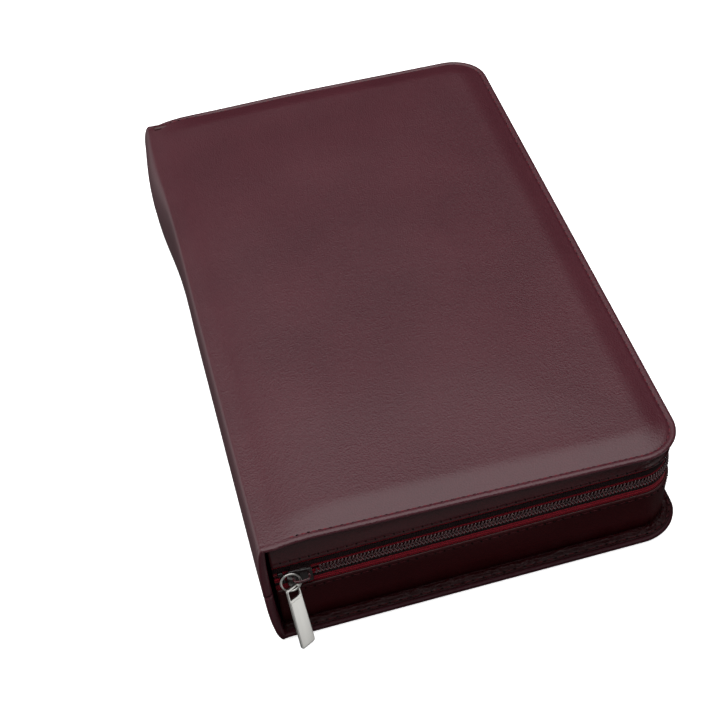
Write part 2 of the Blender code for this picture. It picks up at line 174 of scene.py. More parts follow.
def tube(name, path, radius, sides, closed=False, flat=1.0, up=Vector((0, 0, 1))):
    """A tube along a path. flat scales it across the up direction."""
    count = len(path)
    points = []
    for i, p in enumerate(path):
        before = path[(i - 1) % count] if closed or i > 0 else p
        after = path[(i + 1) % count] if closed or i < count - 1 else p
        ahead = (Vector(after) - Vector(before)).normalized()
        side = ahead.cross(up).normalized()
        top = side.cross(ahead)
        for j in range(sides):
            a = math.tau * j / sides
            points.append(Vector(p) + side * (radius * flat * math.cos(a)) + top * (radius * math.sin(a)))
    rows = count + 1 if closed else count
    faces = []
    for i in range(rows - 1):
        for j in range(sides):
            k, n = (j + 1) % sides, (i + 1) % count
            faces.append((i * sides + j, i * sides + k, n * sides + k, n * sides + j))
    if not closed:
        faces.append(tuple(range(sides))[::-1])
        faces.append(tuple((count - 1) * sides + j for j in range(sides)))
    return turn_out(mesh_of(name, points, faces))


def finish(obj, material):
    """Gives an object one material."""
    obj.data.materials.clear()
    obj.data.materials.append(material)


def show(obj, material, body, slot, *nodes):
    """Gives a piece its material and its body, and hides the CAD nodes that it stands for. The slot argument
    is not used.
    """
    finish(obj, material)
    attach(obj, body)
    if nodes:
        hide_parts(*nodes)


def smoothstep(value, low, high):
    t = min(1, max(0, (value - low) / (high - low)))
    return t * t * (3 - 2 * t)


def bell(value, middle, spread):
    """1 at the middle, fading to 0 on both sides."""
    return math.exp(-(((value - middle) / spread) ** 2))


def steps(low, high, count):
    return [low + (high - low) * i / count for i in range(count + 1)]


def arc(centre, radius, start, end, count):
    """Points of an arc, between two angles in degrees."""
    angles = [math.radians(a) for a in steps(start, end, count)]
    return [(centre[0] + radius * math.cos(a), centre[1] + radius * math.sin(a)) for a in angles]


# ---------------------------------------------------------------- the route round the covers' edge
STRAIGHT_X = EDGE_X - CORNER_RADIUS
STRAIGHT_Y = EDGE_Y - CORNER_RADIUS
ARC_LENGTH = CORNER_RADIUS * math.pi / 2


def on_edge(along, left=GUSSET_START):
    """(x, y, outward x, outward y) at a length along the covers' edge."""
    tail = STRAIGHT_X - left
    if along <= tail:
        return left + along, -EDGE_Y, 0, -1
    along -= tail
    if along <= ARC_LENGTH:
        a = along / CORNER_RADIUS - math.pi / 2
        x, y = math.cos(a), math.sin(a)
        return STRAIGHT_X + CORNER_RADIUS * x, CORNER_RADIUS * y - STRAIGHT_Y, x, y
    along -= ARC_LENGTH
    if along <= 2 * STRAIGHT_Y:
        return EDGE_X, along - STRAIGHT_Y, 1, 0
    along -= 2 * STRAIGHT_Y
    if along <= ARC_LENGTH:
        a = along / CORNER_RADIUS
        x, y = math.cos(a), math.sin(a)
        return STRAIGHT_X + CORNER_RADIUS * x, CORNER_RADIUS * y + STRAIGHT_Y, x, y
    along -= ARC_LENGTH
    return STRAIGHT_X - along, EDGE_Y, 0, 1


def edge_length(left=GUSSET_START):
    return 2 * (STRAIGHT_X - left) + 2 * ARC_LENGTH + 2 * STRAIGHT_Y


def cornering(along):
    """1 in the middle of a rounded corner, 0 on the straights."""
    first = STRAIGHT_X - GUSSET_START + ARC_LENGTH / 2
    second = first + ARC_LENGTH + 2 * STRAIGHT_Y
    away = min(abs(along - first), abs(along - second))
    return 1 - smoothstep(away, 0.25 * ARC_LENGTH, 0.8 * ARC_LENGTH)


def upper(x, z):
    """The height of a front-cover point that would be at z on the back cover, with the cover's slope."""
    z = THICKNESS - z
    still, full = THICKNESS - UPPER_WALL_END, THICKNESS - FLANGE_TOP
    share = min(1, max(0, (z - still) / (full - still)))
    return z - share * FORE_SLOPE * (x - CREASE_X)


def lower(x, z):
    """The height of a back-cover point: as it is."""
    return z


def sweep(name, profile, height, left=GUSSET_START, step=1.2 * MM, change=None):
    """Carries a closed profile of (inset, z) round the edge. change(along, index) gives offsets in both."""
    length = edge_length(left)
    count = round(length / step)
    columns = len(profile)
    run = [0.0]
    for (i0, z0), (i1, z1) in zip(profile, profile[1:] + profile[:1]):
        run.append(run[-1] + math.hypot(i1 - i0, z1 - z0))
    points, uvs = [], []
    for n in range(count + 1):
        along = length * n / count
        x, y, out_x, out_y = on_edge(along, left)
        for index, (inset, z) in enumerate(profile):
            if change:
                more_inset, more_z = change(along, index)
                inset, z = inset + more_inset, z + more_z
            px, py = x - out_x * inset, y - out_y * inset
            points.append((px, py, height(px, z)))
            uvs.append((along, run[index]))
    faces = grid_faces(count + 1, columns, round_columns=True)
    faces.append(tuple(range(columns)))
    faces.append(tuple(count * columns + j for j in reversed(range(columns))))
    return turn_out(mesh_of(name, points, faces, uvs))


# ---------------------------------------------------------------- materials
class Shader:
    """A small helper that adds nodes to one material."""

    def __init__(self, name, roughness=0.5, metallic=0.0, specular=0.5):
        self.material = bpy.data.materials.new(name)
        self.material.use_nodes = True
        self.tree = self.material.node_tree
        self.out = self.tree.nodes["Principled BSDF"]
        self.out.inputs["Roughness"].default_value = roughness
        self.out.inputs["Metallic"].default_value = metallic
        self.out.inputs["Specular IOR Level"].default_value = specular
        self.height = None

    def node(self, kind, **settings):
        made = self.tree.nodes.new(kind)
        for key, value in settings.items():
            setattr(made, key, value)
        return made

    def wire(self, start, end):
        self.tree.links.new(start, end)

    def place(self, kind="Object", scale=(1, 1, 1)):
        """Coordinates in metres, times a scale."""
        source = self.node("ShaderNodeTexCoord").outputs[kind]
        mapping = self.node("ShaderNodeMapping")
        mapping.inputs["Scale"].default_value = scale
        self.wire(source, mapping.inputs["Vector"])
        return mapping.outputs["Vector"]

    def axes(self):
        """The separate X, Y and Z of a point."""
        split = self.node("ShaderNodeSeparateXYZ")
        self.wire(self.place(), split.inputs["Vector"])
        return split.outputs

    def noise(self, scale, detail=3, rough=0.55, where=None, distortion=0.0):
        made = self.node("ShaderNodeTexNoise")
        made.inputs["Scale"].default_value = scale
        made.inputs["Detail"].default_value = detail
        made.inputs["Roughness"].default_value = rough
        made.inputs["Distortion"].default_value = distortion
        self.wire(where or self.place(), made.inputs["Vector"])
        return made.outputs["Fac"]

    def cells(self, scale):
        made = self.node("ShaderNodeTexVoronoi")
        made.inputs["Scale"].default_value = scale
        self.wire(self.place(), made.inputs["Vector"])
        return made.outputs["Distance"]

    def wave(self, scale, where, distortion=0.0, direction="X"):
        made = self.node("ShaderNodeTexWave", bands_direction=direction)
        made.inputs["Scale"].default_value = scale
        made.inputs["Distortion"].default_value = distortion
        self.wire(where, made.inputs["Vector"])
        return made.outputs["Fac"]

    def ramp(self, value, *stops):
        """A colour ramp of (position, colour) stops."""
        made = self.node("ShaderNodeValToRGB")
        elements = made.color_ramp.elements
        while len(elements) < len(stops):
            elements.new(0.5)
        for element, (position, colour) in zip(elements, stops):
            element.position = position
            element.color = (*colour, 1)
        self.wire(value, made.inputs["Fac"])
        return made.outputs["Color"]

    def mix(self, factor, one, two):
        made = self.node("ShaderNodeMix", data_type="RGBA")
        for socket, value in zip((made.inputs[0], made.inputs[6], made.inputs[7]), (factor, one, two)):
            if isinstance(value, (float, int)):
                socket.default_value = value
            elif isinstance(value, tuple):
                socket.default_value = (*value, 1)
            else:
                self.wire(value, socket)
        return made.outputs[2]

    def maths(self, operation, one, two=0.0):
        made = self.node("ShaderNodeMath", operation=operation)
        for socket, value in zip(made.inputs, (one, two)):
            if isinstance(value, (float, int)):
                socket.default_value = value
            else:
                self.wire(value, socket)
        return made.outputs[0]

    def colour(self, value):
        socket = self.out.inputs["Base Color"]
        if isinstance(value, tuple):
            socket.default_value = (*value, 1)
        else:
            self.wire(value, socket)

    def roughness(self, value, low, high):
        made = self.node("ShaderNodeMapRange")
        made.inputs["To Min"].default_value = low
        made.inputs["To Max"].default_value = high
        self.wire(value, made.inputs["Value"])
        self.wire(made.outputs["Result"], self.out.inputs["Roughness"])

    def bump(self, value, depth):
        """Adds a height of that depth in metres on top of what was added before."""
        made = self.node("ShaderNodeBump")
        made.inputs["Strength"].default_value = 1.0
        made.inputs["Distance"].default_value = depth
        self.wire(value, made.inputs["Height"])
        if self.height:
            self.wire(self.height, made.inputs["Normal"])
        self.height = made.outputs["Normal"]
        self.wire(self.height, self.out.inputs["Normal"])


SHADE_PER_METRE = 110.0  # painted shade: the leather's colour and gloss darken from the inverse of this height, 9 mm, down to the floor


def leather_material(name, dark, light, rough, grain, specular=0.45, crumpled_below=None, painted_floor_shade=True):
    """Smooth bonded leather: fine pebbles and a slightly uneven colour. It is crumpled below a height. Unless
    told not to, its colour and gloss darken towards the floor as painted shade.
    """
    s = Shader(name, specular=specular)
    cloud = s.noise(28, detail=4)
    fine = s.noise(900, detail=2)
    tone = s.mix(0.35, cloud, fine)
    z = s.axes()["Z"]
    if painted_floor_shade:
        # painted shade: tone and gloss scale with height below 9 mm; a crumpled brim keeps at least 0.7 of
        # its gloss
        over = s.maths("MINIMUM", s.maths("MULTIPLY", z, SHADE_PER_METRE), 1.0)
        tone = s.maths("MULTIPLY", tone, over)
        least_gloss = 0.7 if crumpled_below else 0.0
        gloss = s.maths("MULTIPLY", s.maths("MAXIMUM", over, least_gloss), specular)
        s.wire(gloss, s.out.inputs["Specular IOR Level"])
    # the darkest stop, at 0, is reached in the painted shade near the floor
    s.colour(s.ramp(tone, (0.0, [c / 4 for c in dark]), (0.3, dark), (0.7, light)))
    s.bump(s.cells(1700), grain)
    s.bump(s.noise(520, detail=5, rough=0.65), grain * 0.8)
    if crumpled_below:
        crumple = s.noise(620, detail=4, rough=0.7, distortion=1.2)
        s.bump(s.maths("MULTIPLY", crumple, s.maths("LESS_THAN", z, crumpled_below)), 0.55 * MM)
    s.roughness(s.mix(0.5, cloud, fine), *rough)
    return s.material


def thread_material(name, dark, light):
    s = Shader(name, roughness=0.55, specular=0.15)
    twist = s.noise(2600, detail=1)
    s.colour(s.ramp(twist, (0.3, dark), (0.75, light)))
    s.bump(twist, 0.03 * MM)
    return s.material


def tape_material():
    """A woven twill zip tape, with its ribs across the length."""
    s = Shader("woven_zip_tape", roughness=0.85, specular=0.12)
    where = s.place("UV")
    lean = s.node("ShaderNodeMapping")
    lean.inputs["Rotation"].default_value = (0, 0, math.radians(32))
    s.wire(where, lean.inputs["Vector"])
    twill = s.wave(560, lean.outputs["Vector"], distortion=0.4)
    ribs = s.wave(330, where, distortion=0.3, direction="Y")
    weave = s.mix(0.5, twill, ribs)
    s.colour(s.ramp(weave, (0.15, (0.06, 0.002, 0.005)), (0.8, (0.34, 0.012, 0.026))))
    s.bump(weave, 0.09 * MM)
    s.out.inputs["Sheen Weight"].default_value = 0.06
    s.out.inputs["Sheen Roughness"].default_value = 0.4
    return s.material


# Near black: the zip's sewn cord, which above the upper coil is widened into a band of painted shade under
# the front cover.
def cord_and_shade_material():
    s = Shader("zip_cord", roughness=0.85, specular=0.15)
    ribs = s.wave(600, s.place("UV"))
    s.colour(s.ramp(ribs, (0.2, (0.004, 0.002, 0.002)), (0.9, (0.022, 0.008, 0.01))))
    s.bump(ribs, 0.08 * MM)
    return s.material


def coil_material():
    s = Shader("nylon_coil", roughness=0.25, specular=0.9)
    tone = s.noise(500, detail=2)
    s.colour(s.ramp(tone, (0.3, (0.03, 0.01, 0.012)), (0.7, (0.1, 0.042, 0.046))))
    s.roughness(tone, 0.2, 0.3)
    return s.material


def lacquer_material(name, dark, light):
    s = Shader(name, roughness=0.22)
    tone = s.noise(700, detail=3)
    s.colour(s.ramp(tone, (0.3, dark), (0.7, light)))
    s.roughness(s.noise(300), 0.16, 0.34)
    s.bump(tone, 0.01 * MM)
    s.out.inputs["Coat Weight"].default_value = 0.4
    s.out.inputs["Coat Roughness"].default_value = 0.12
    return s.material


def nickel_material():
    """Satin nickel, brushed along the object's height, with fine handling marks."""
    s = Shader("satin_nickel_metal", roughness=0.3, metallic=1.0)
    brush = s.noise(900, detail=4, where=s.place(scale=(1, 1, 0.08)))
    s.colour(s.ramp(brush, (0.2, (0.6, 0.59, 0.56)), (0.8, (0.68, 0.67, 0.64))))
    s.roughness(brush, 0.26, 0.34)
    s.bump(brush, 0.003 * MM)
    return s.material


def page_edge_material():
    """Gilt edges of many thin leaves."""
    s = Shader("gilt_page_edges", roughness=0.4, metallic=0.75)
    leaves = s.wave(2100, s.place(), distortion=1.6, direction="Z")
    blotch = s.noise(160, detail=4)
    gold = s.ramp(leaves, (0.1, (0.42, 0.27, 0.09)), (0.9, (0.8, 0.58, 0.26)))
    s.colour(s.mix(s.maths("MULTIPLY", blotch, 0.5), gold, (0.86, 0.76, 0.55)))
    s.bump(leaves, 0.05 * MM)
    s.roughness(blotch, 0.3, 0.55)
    return s.material


LINE_PITCH = 2.5 * MM


def printed_page_material():
    """Thin paper with two columns of grey lines in place of words."""
    s = Shader("printed_bible_paper", roughness=0.75, specular=0.3)
    axes = s.axes()
    middle, quarter = (PAGE_LEFT + PAGE_RIGHT) / 2, (PAGE_RIGHT - PAGE_LEFT) / 4
    away = s.maths("ABSOLUTE", s.maths("SUBTRACT", axes["X"], middle))
    away = s.maths("ABSOLUTE", s.maths("SUBTRACT", away, quarter - 1.5 * MM))
    in_column = s.maths("LESS_THAN", away, quarter - 5 * MM)
    in_height = s.maths("LESS_THAN", s.maths("ABSOLUTE", axes["Y"]), PAGE_HALF - 12 * MM)
    line = s.wave(math.tau / (20 * LINE_PITCH), s.place(), direction="Y")
    in_line = s.maths("GREATER_THAN", line, 0.55)
    word_place = s.place(scale=(420, 400, 1))
    snap = s.node("ShaderNodeVectorMath", operation="SNAP")
    snap.inputs[1].default_value = (0.35, 1.0, 1.0)
    s.wire(word_place, snap.inputs[0])
    words = s.node("ShaderNodeTexWhiteNoise")
    s.wire(snap.outputs["Vector"], words.inputs["Vector"])
    in_word = s.maths("GREATER_THAN", words.outputs["Value"], 0.2)
    ink = 0.6
    for mask in (in_column, in_height, in_line, in_word):
        ink = s.maths("MULTIPLY", mask, ink)
    fibres = s.noise(700, detail=3)
    paper = s.ramp(fibres, (0.3, (0.78, 0.72, 0.6)), (0.7, (0.86, 0.81, 0.7)))
    s.colour(s.mix(ink, paper, (0.06, 0.055, 0.05)))
    s.bump(fibres, 0.01 * MM)
    return s.material


def paper_material(name, dark, light, scale=700):
    s = Shader(name, roughness=0.75, specular=0.3)
    fibres = s.noise(scale, detail=4)
    s.colour(s.ramp(fibres, (0.3, dark), (0.7, light)))
    s.bump(fibres, 0.03 * MM)
    return s.material


def silk_material():
    """Headband silk in two colours, wound in narrow turns."""
    s = Shader("striped_silk", roughness=0.45)
    turns = s.wave(260, s.place(), direction="Z")
    s.colour(s.ramp(turns, (0.48, (0.3, 0.02, 0.03)), (0.52, (0.75, 0.6, 0.3))))
    s.bump(s.wave(780, s.place(), direction="Z"), 0.1 * MM)
    s.out.inputs["Sheen Weight"].default_value = 0.3
    return s.material


def ribbon_material():
    s = Shader("satin_ribbon", roughness=0.35)
    ribs = s.wave(900, s.place(), direction="X", distortion=0.3)
    s.colour(s.ramp(ribs, (0.2, (0.2, 0.008, 0.015)), (0.8, (0.36, 0.02, 0.035))))
    s.bump(ribs, 0.02 * MM)
    s.out.inputs["Anisotropic"].default_value = 0.5
    return s.material


# Near-black discs laid on the leather at the needle holes: painted shade in the holes.
def hole_shade_material():
    s = Shader("needle_hole_shade", roughness=0.9, specular=0.1)
    s.colour(s.ramp(s.noise(900), (0.3, (0.003, 0.001, 0.001)), (0.7, (0.01, 0.004, 0.005))))
    return s.material


REAR_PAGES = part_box("rear_leaves_3")
PAGE_LEFT, PAGE_RIGHT, PAGE_HALF = REAR_PAGES[0].x, REAR_PAGES[1].x, REAR_PAGES[1].y

# Below 9 mm, at the back cover and the foot of the spine, this leather darkens towards the floor: painted
# shade.
COVER_LEATHER = leather_material(
    "cover_leather",
    dark=(0.048, 0.0075, 0.013),
    light=(0.068, 0.0125, 0.0195),
    rough=(0.32, 0.4),
    grain=0.06 * MM,
)
# A darker, less glossy copy of the cover leather: painted shade on the upper gusset wall under the front
# cover's rim.
UPPER_GUSSET_SHADED_LEATHER = leather_material(
    "upper_gusset_leather",
    dark=(0.034, 0.004, 0.006),
    light=(0.056, 0.008, 0.011),
    rough=(0.3, 0.4),
    grain=0.05 * MM,
    specular=0.32,
    painted_floor_shade=False,
)
# A still darker, less glossy copy of the cover leather: painted shade on the lower gusset wall and the brim,
# which also darken towards the floor.
LOWER_GUSSET_SHADED_LEATHER = leather_material(
    "gusset_leather",
    dark=(0.022, 0.0012, 0.0022),
    light=(0.04, 0.0026, 0.004),
    rough=(0.26, 0.36),
    grain=0.05 * MM,
    specular=0.22,
    crumpled_below=3.4 * MM,
)
THREAD = thread_material("polyester_thread", (0.08, 0.006, 0.01), (0.2, 0.022, 0.032))
# A darker copy of the thread for the gusset walls and the brim: painted shade.
SHADED_THREAD = thread_material("shaded_thread", (0.02, 0.0015, 0.003), (0.07, 0.007, 0.011))
TAPE = tape_material()
CORD_AND_SHADE = cord_and_shade_material()
COIL = coil_material()
BLACK_LACQUER = lacquer_material("black_lacquer", (0.006, 0.004, 0.004), (0.016, 0.008, 0.009))
RED_LACQUER = lacquer_material("burgundy_lacquer", (0.035, 0.006, 0.009), (0.075, 0.014, 0.02))
NICKEL = nickel_material()
EDGES = page_edge_material()
PRINT = printed_page_material()
HOLE_SHADE = hole_shade_material()


# ---------------------------------------------------------------- stitches
LEATHER_SLOT = "burgundy_leather"


def stitch_row(name, place_at, length, body, thread, radius, pitch=3.35 * MM, stitch=2.65 * MM):
    """A row of stitches with a needle hole between each two, drawn as a near-black disc of painted shade.
    place_at(along) gives a point and its normal.
    """
    points, faces, hole_points, hole_faces = [], [], [], []
    sections, sides, hole_sides = 8, 6, 10
    lean = random.Random(7)
    for n in range(int(length / pitch)):
        middle = (n + 0.5) * pitch
        reach = stitch * lean.uniform(0.46, 0.54)
        skew = lean.uniform(-0.06, 0.06) * MM
        first = len(points)
        for i in range(sections + 1):
            t = 2 * i / sections - 1
            point, normal = place_at(middle + t * reach)
            ahead = place_at(middle + t * reach + 0.2 * MM)[0] - point
            side = ahead.cross(normal).normalized()
            rise = radius * (1.35 * (1 - t * t) ** 0.5 - 0.75)
            width = radius * (0.55 + 0.45 * (1 - t**4))
            centre = point + normal * rise + side * skew * t
            for j in range(sides):
                a = math.tau * j / sides
                points.append(centre + side * (width * math.cos(a)) + normal * (width * 0.8 * math.sin(a)))
        faces += grid_faces(sections + 1, sides, round_columns=True, start=first)
        faces.append(tuple(first + j for j in range(sides))[::-1])
        faces.append(tuple(first + sections * sides + j for j in range(sides)))
        point, normal = place_at(middle + pitch / 2)
        ahead = (place_at(middle + pitch / 2 + 0.2 * MM)[0] - point).normalized()
        side = ahead.cross(normal).normalized()
        # a near-black disc just over the leather: painted shade in the needle hole
        hole = len(hole_points)
        hole_points.append(point + normal * 0.035 * MM)
        for j in range(hole_sides):
            a = math.tau * j / hole_sides
            offset = ahead * (1.6 * radius * math.cos(a)) + side * (1.2 * radius * math.sin(a))
            hole_points.append(point + offset + normal * 0.02 * MM)
            hole_faces.append((hole, hole + 1 + j, hole + 1 + (j + 1) % hole_sides))
    show(turn_out(mesh_of(name, points, faces)), thread, body, LEATHER_SLOT)
    holes = thickened(mesh_of(name + "_holes", hole_points, hole_faces), 0.3 * MM)
    show(holes, HOLE_SHADE, body, LEATHER_SLOT)


# ---------------------------------------------------------------- the leather of the covers and the spine
STITCH_INSET = 1.8 * MM
RIM = [  # (inset, height over the rim's plane) from under the turned edge to the flat rim
    (11.0 * MM, -1.0 * MM),
    (3.0 * MM, -1.0 * MM),
    (0.9 * MM, -0.98 * MM),
    (0.28 * MM, -0.9 * MM),
    (0.06 * MM, -0.74 * MM),
    (0.0, -0.54 * MM),
    (0.04 * MM, -0.33 * MM),
    (0.16 * MM, -0.15 * MM),
    (0.36 * MM, -0.05 * MM),
    (0.65 * MM, 0.0),
]
SPINE_HEM = 2.5  # the turned-in edge is this many times as thick on the spine, over its board
OUTER_INSETS = (1.1, 1.45, 1.65, 1.8, 1.95, 2.2, 2.6, 3.1)  # in mm, close together beside the stitches
INNER_INSETS = (3.8, 4.6, 5.6, 6.8, 8.2, 9.8, 11.2, 12.6)
INSETS = [inset * MM for inset in OUTER_INSETS + INNER_INSETS]
GROOVE = 0.28 * MM
FRONT_SWELL, BACK_SWELL = 1.7 * MM, 0.5 * MM
BACK_LIFT = 1.35 * BACK_SWELL  # the back cover's rim lies this high, so that its swell reaches down to 0


def padded_height(inset, swell):
    """Height of the padded leather over the rim's plane, at an inset from the edge."""
    groove = GROOVE * bell(inset, STITCH_INSET, 0.5 * MM)
    pillow = swell * smoothstep(inset, 1.6 * MM, 10.5 * MM) ** 0.8
    crown = 0.35 * swell * smoothstep(inset, 8 * MM, 55 * MM)
    return pillow + crown - groove


SPINE_SQUARE = 2.3  # the power of the spine's superellipse
HEAD_BOW, TAIL_HOLLOW = 3.2 * MM, 0.25 * MM  # the loose spine bows out at the head, and in below it
SPINE_START = CREASE_X - 0.6 * MM


def spine_profile(count):
    """The leather's outer skin over the spine, from the front crease to the back one: points (x, z)."""
    middle, half = THICKNESS / 2, THICKNESS / 2
    reach = SPINE_START - (SPINE_X + 0.8 * MM)
    points = []
    for t in steps(90, 270, count):
        c, s = math.cos(math.radians(t)), math.sin(math.radians(t))
        x = SPINE_START - reach * abs(c) ** (2 / SPINE_SQUARE)
        z = middle + half * math.copysign(abs(s) ** (2 / SPINE_SQUARE), s)
        points.append((x, z))
    return points


SHOULDER = 1.3 * MM  # how far the front cover rolls down towards the spine
HEAD_SAG = 1.0 * MM  # and how much further at the head


def shoulder(x):
    return SHOULDER * (1 - smoothstep(x, CREASE_X - 2 * MM, CREASE_X + 15 * MM))


def sunk(x, y):
    """How far the front cover lies below its plane: at the spine, and more at the head."""
    at_head = smoothstep(y, 20 * MM, 105 * MM) * (1 - smoothstep(x, CREASE_X + 12 * MM, CREASE_X + 65 * MM))
    return shoulder(x) + HEAD_SAG * at_head


def crease_dip(x):
    """How far the leather sinks into the hinge crease beside the spine."""
    return 0.45 * MM * bell(x, CREASE_X + 2.5 * MM, 2.6 * MM)


def tucked(x, y):
    """The back cover is a little smaller than the front one, away from the spine."""
    return x - 0.0054 * (x - CREASE_X), y


CORNER_STEPS = 18


def corner_stations(middle_y, start):
    return [
        (STRAIGHT_X + CORNER_RADIUS * a, CORNER_RADIUS * b + middle_y, a, b)
        for a, b in arc((0, 0), 1, start, start + 90, CORNER_STEPS)
    ]


def away_from_spine(x):
    """0 beside the spine, 1 where the cover has its full swell."""
    return smoothstep(x, CREASE_X - 2 * MM, CREASE_X + 30 * MM)


def skin_height(front, x, y, inset):
    """The leather's height over the cover's plane, with the crease and a slight unevenness."""
    near = away_from_spine(x)
    uneven = 0.16 * MM * noise.noise(Vector((x * 26, y * 26, 3.0 if front else 9.0)))
    inside = smoothstep(inset, 4 * MM, 14 * MM)
    swell, lift = (FRONT_SWELL, 0.0) if front else (BACK_SWELL, BACK_LIFT)
    return padded_height(inset, swell) * near - lift - crease_dip(x) + uneven * near * inside


FRONT_NORMAL = Vector((FORE_SLOPE, 0, 1)).normalized()
DOWN = Vector((0, 0, -1))


def skin(front, x, y, h):
    """The point at a height over a cover's plane."""
    if front:
        return Vector((x, y, THICKNESS - FORE_SLOPE * (x - CREASE_X) - sunk(x, y))) + FRONT_NORMAL * h
    return Vector((*tucked(x, y), 0)) + DOWN * h


def spine_skin(front, rows, edge, points, uvs, faces):
    """Continues a cover's leather from its left edge over half of the spine."""
    profile = spine_profile(96)
    half = len(profile) // 2
    profile = profile[1 : half + 1] if front else profile[half:][::-1][1:]
    lift = 0.0 if front else BACK_LIFT
    before = edge
    for index, (x, z) in enumerate(profile):
        ahead = profile[min(index + 1, len(profile) - 1)]
        behind = profile[index - 1] if index else (x + 0.5 * MM, z)
        along = Vector((ahead[0] - behind[0], 0, ahead[1] - behind[1])).normalized()
        out = Vector((-abs(along.z), 0, math.copysign(abs(along.x), 1 if front else -1)))
        share = smoothstep(x, SPINE_X, CREASE_X)
        now = []
        for y, drop, inset in rows:
            h = -0.55 * GROOVE * bell(inset, STITCH_INSET, 0.6 * MM) if drop is None else drop
            uneven = 0.22 * MM * noise.noise(Vector((x * 20, y * 14, z * 26)))
            h += uneven * smoothstep(inset, 3 * MM, 14 * MM) * (1 - share) - (lift + crease_dip(x)) * share
            if drop is not None and drop < -0.5 * MM:
                h -= (SPINE_HEM - 1) * (1 - share) * (-0.5 * MM - drop) * 2
            bow = HEAD_BOW * bell(y, 88 * MM, 24 * MM) - TAIL_HOLLOW * bell(y, 30 * MM, 17 * MM)
            fall = sunk(CREASE_X, y) * max(0.0, 2 * z / THICKNESS - 1) if front else 0.0
            points.append(Vector((x - bow * (1 - share), y, z - fall)) + out * h)
            uvs.append((x, y))
            now.append(len(points) - 1)
        faces += [(before[a], before[a + 1], now[a + 1], now[a]) for a in range(len(now) - 1)]
        before = now


def face_along(sheet, normal):
    """Turns a sheet's faces so that its largest one faces a direction."""
    bm = bmesh.new()
    bm.from_mesh(sheet.data)
    bmesh.ops.recalc_face_normals(bm, faces=bm.faces)
    largest = max(bm.faces, key=lambda face: face.calc_area())
    if largest.normal.dot(normal) < 0:
        bmesh.ops.reverse_faces(bm, faces=bm.faces)
    bm.to_mesh(sheet.data)
    bm.free()


def case_leather(side):
    """One cover's outer leather with its half of the spine, as one sheet."""
    front = side == "front"
    tail_x = steps(CREASE_X, STRAIGHT_X, 40)[:-1]
    fore_y = steps(-STRAIGHT_Y, STRAIGHT_Y, 56)[1:-1]
    stations = [(x, -EDGE_Y, 0, -1) for x in tail_x]
    stations += corner_stations(-STRAIGHT_Y, -90)
    stations += [(EDGE_X, y, 1, 0) for y in fore_y]
    stations += corner_stations(STRAIGHT_Y, 0)
    stations += [(x, EDGE_Y, 0, 1) for x in reversed(tail_x)]

    # the rim, in rings that follow the edge
    rings = RIM + [(inset, None) for inset in INSETS]
    points, uvs = [], []
    for inset, drop in rings:
        for x, y, out_x, out_y in stations:
            px, py = x - out_x * inset, y - out_y * inset
            if drop is None:
                h = skin_height(front, px, py, inset)
            else:
                h = drop - (0.0 if front else BACK_LIFT) - crease_dip(px)
            points.append(skin(front, px, py, h))
            uvs.append((px, py))
    count = len(stations)
    faces = grid_faces(len(rings), count)

    # the middle, in rows and columns
    inner = INSETS[-1] + 2.4 * MM
    columns = tail_x + [EDGE_X - inner]
    rows = [-EDGE_Y + inner, *fore_y, EDGE_Y - inner]
    first = len(points)
    for y in rows:
        for x in columns:
            inset = min(EDGE_X - x, EDGE_Y - abs(y))
            points.append(skin(front, x, y, skin_height(front, x, y, inset)))
            uvs.append((x, y))
    wide, tall = len(columns), len(rows)
    faces += grid_faces(tall, wide, start=first)

    # the strip between the last ring and the middle
    def cell(row, column):
        return first + row * wide + column

    last = (len(rings) - 1) * count
    nx, ny = len(tail_x), len(fore_y)
    for i in range(nx):
        other = last + count - 1 - i
        faces.append((last + i, last + i + 1, cell(0, i + 1), cell(0, i)))
        faces.append((other, cell(tall - 1, i), cell(tall - 1, i + 1), other - 1))
    for j in range(CORNER_STEPS):
        start = last + nx + j
        faces.append((start, start + 1, cell(0, wide - 1)))
        start += CORNER_STEPS + ny + 1
        faces.append((start, start + 1, cell(tall - 1, wide - 1)))
    for j in range(ny + 1):
        start = last + nx + CORNER_STEPS + j
        faces.append((start, start + 1, cell(j + 1, wide - 1), cell(j, wide - 1)))

    edge = [k * count for k in range(len(rings))]
    edge += [cell(row, 0) for row in range(tall)]
    edge += [(k + 1) * count - 1 for k in reversed(range(len(rings)))]
    spine_rows = [(-EDGE_Y + inset, drop, inset) for inset, drop in rings]
    spine_rows += [(y, None, EDGE_Y - abs(y)) for y in rows]
    spine_rows += [(EDGE_Y - inset, drop, inset) for inset, drop in reversed(rings)]
    spine_skin(front, spine_rows, edge, points, uvs, faces)

    sheet = mesh_of(f"{side}_case_leather", points, faces, uvs)
    face_along(sheet, FRONT_NORMAL if front else DOWN)
    sheet = thickened(sheet, 0.3 * MM)
    finish(sheet, COVER_LEATHER)
    if front:
        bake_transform(sheet)
        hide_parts("front_cover_leather", "spine_leather")
    else:
        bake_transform(sheet)
        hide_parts("back_cover_leather")


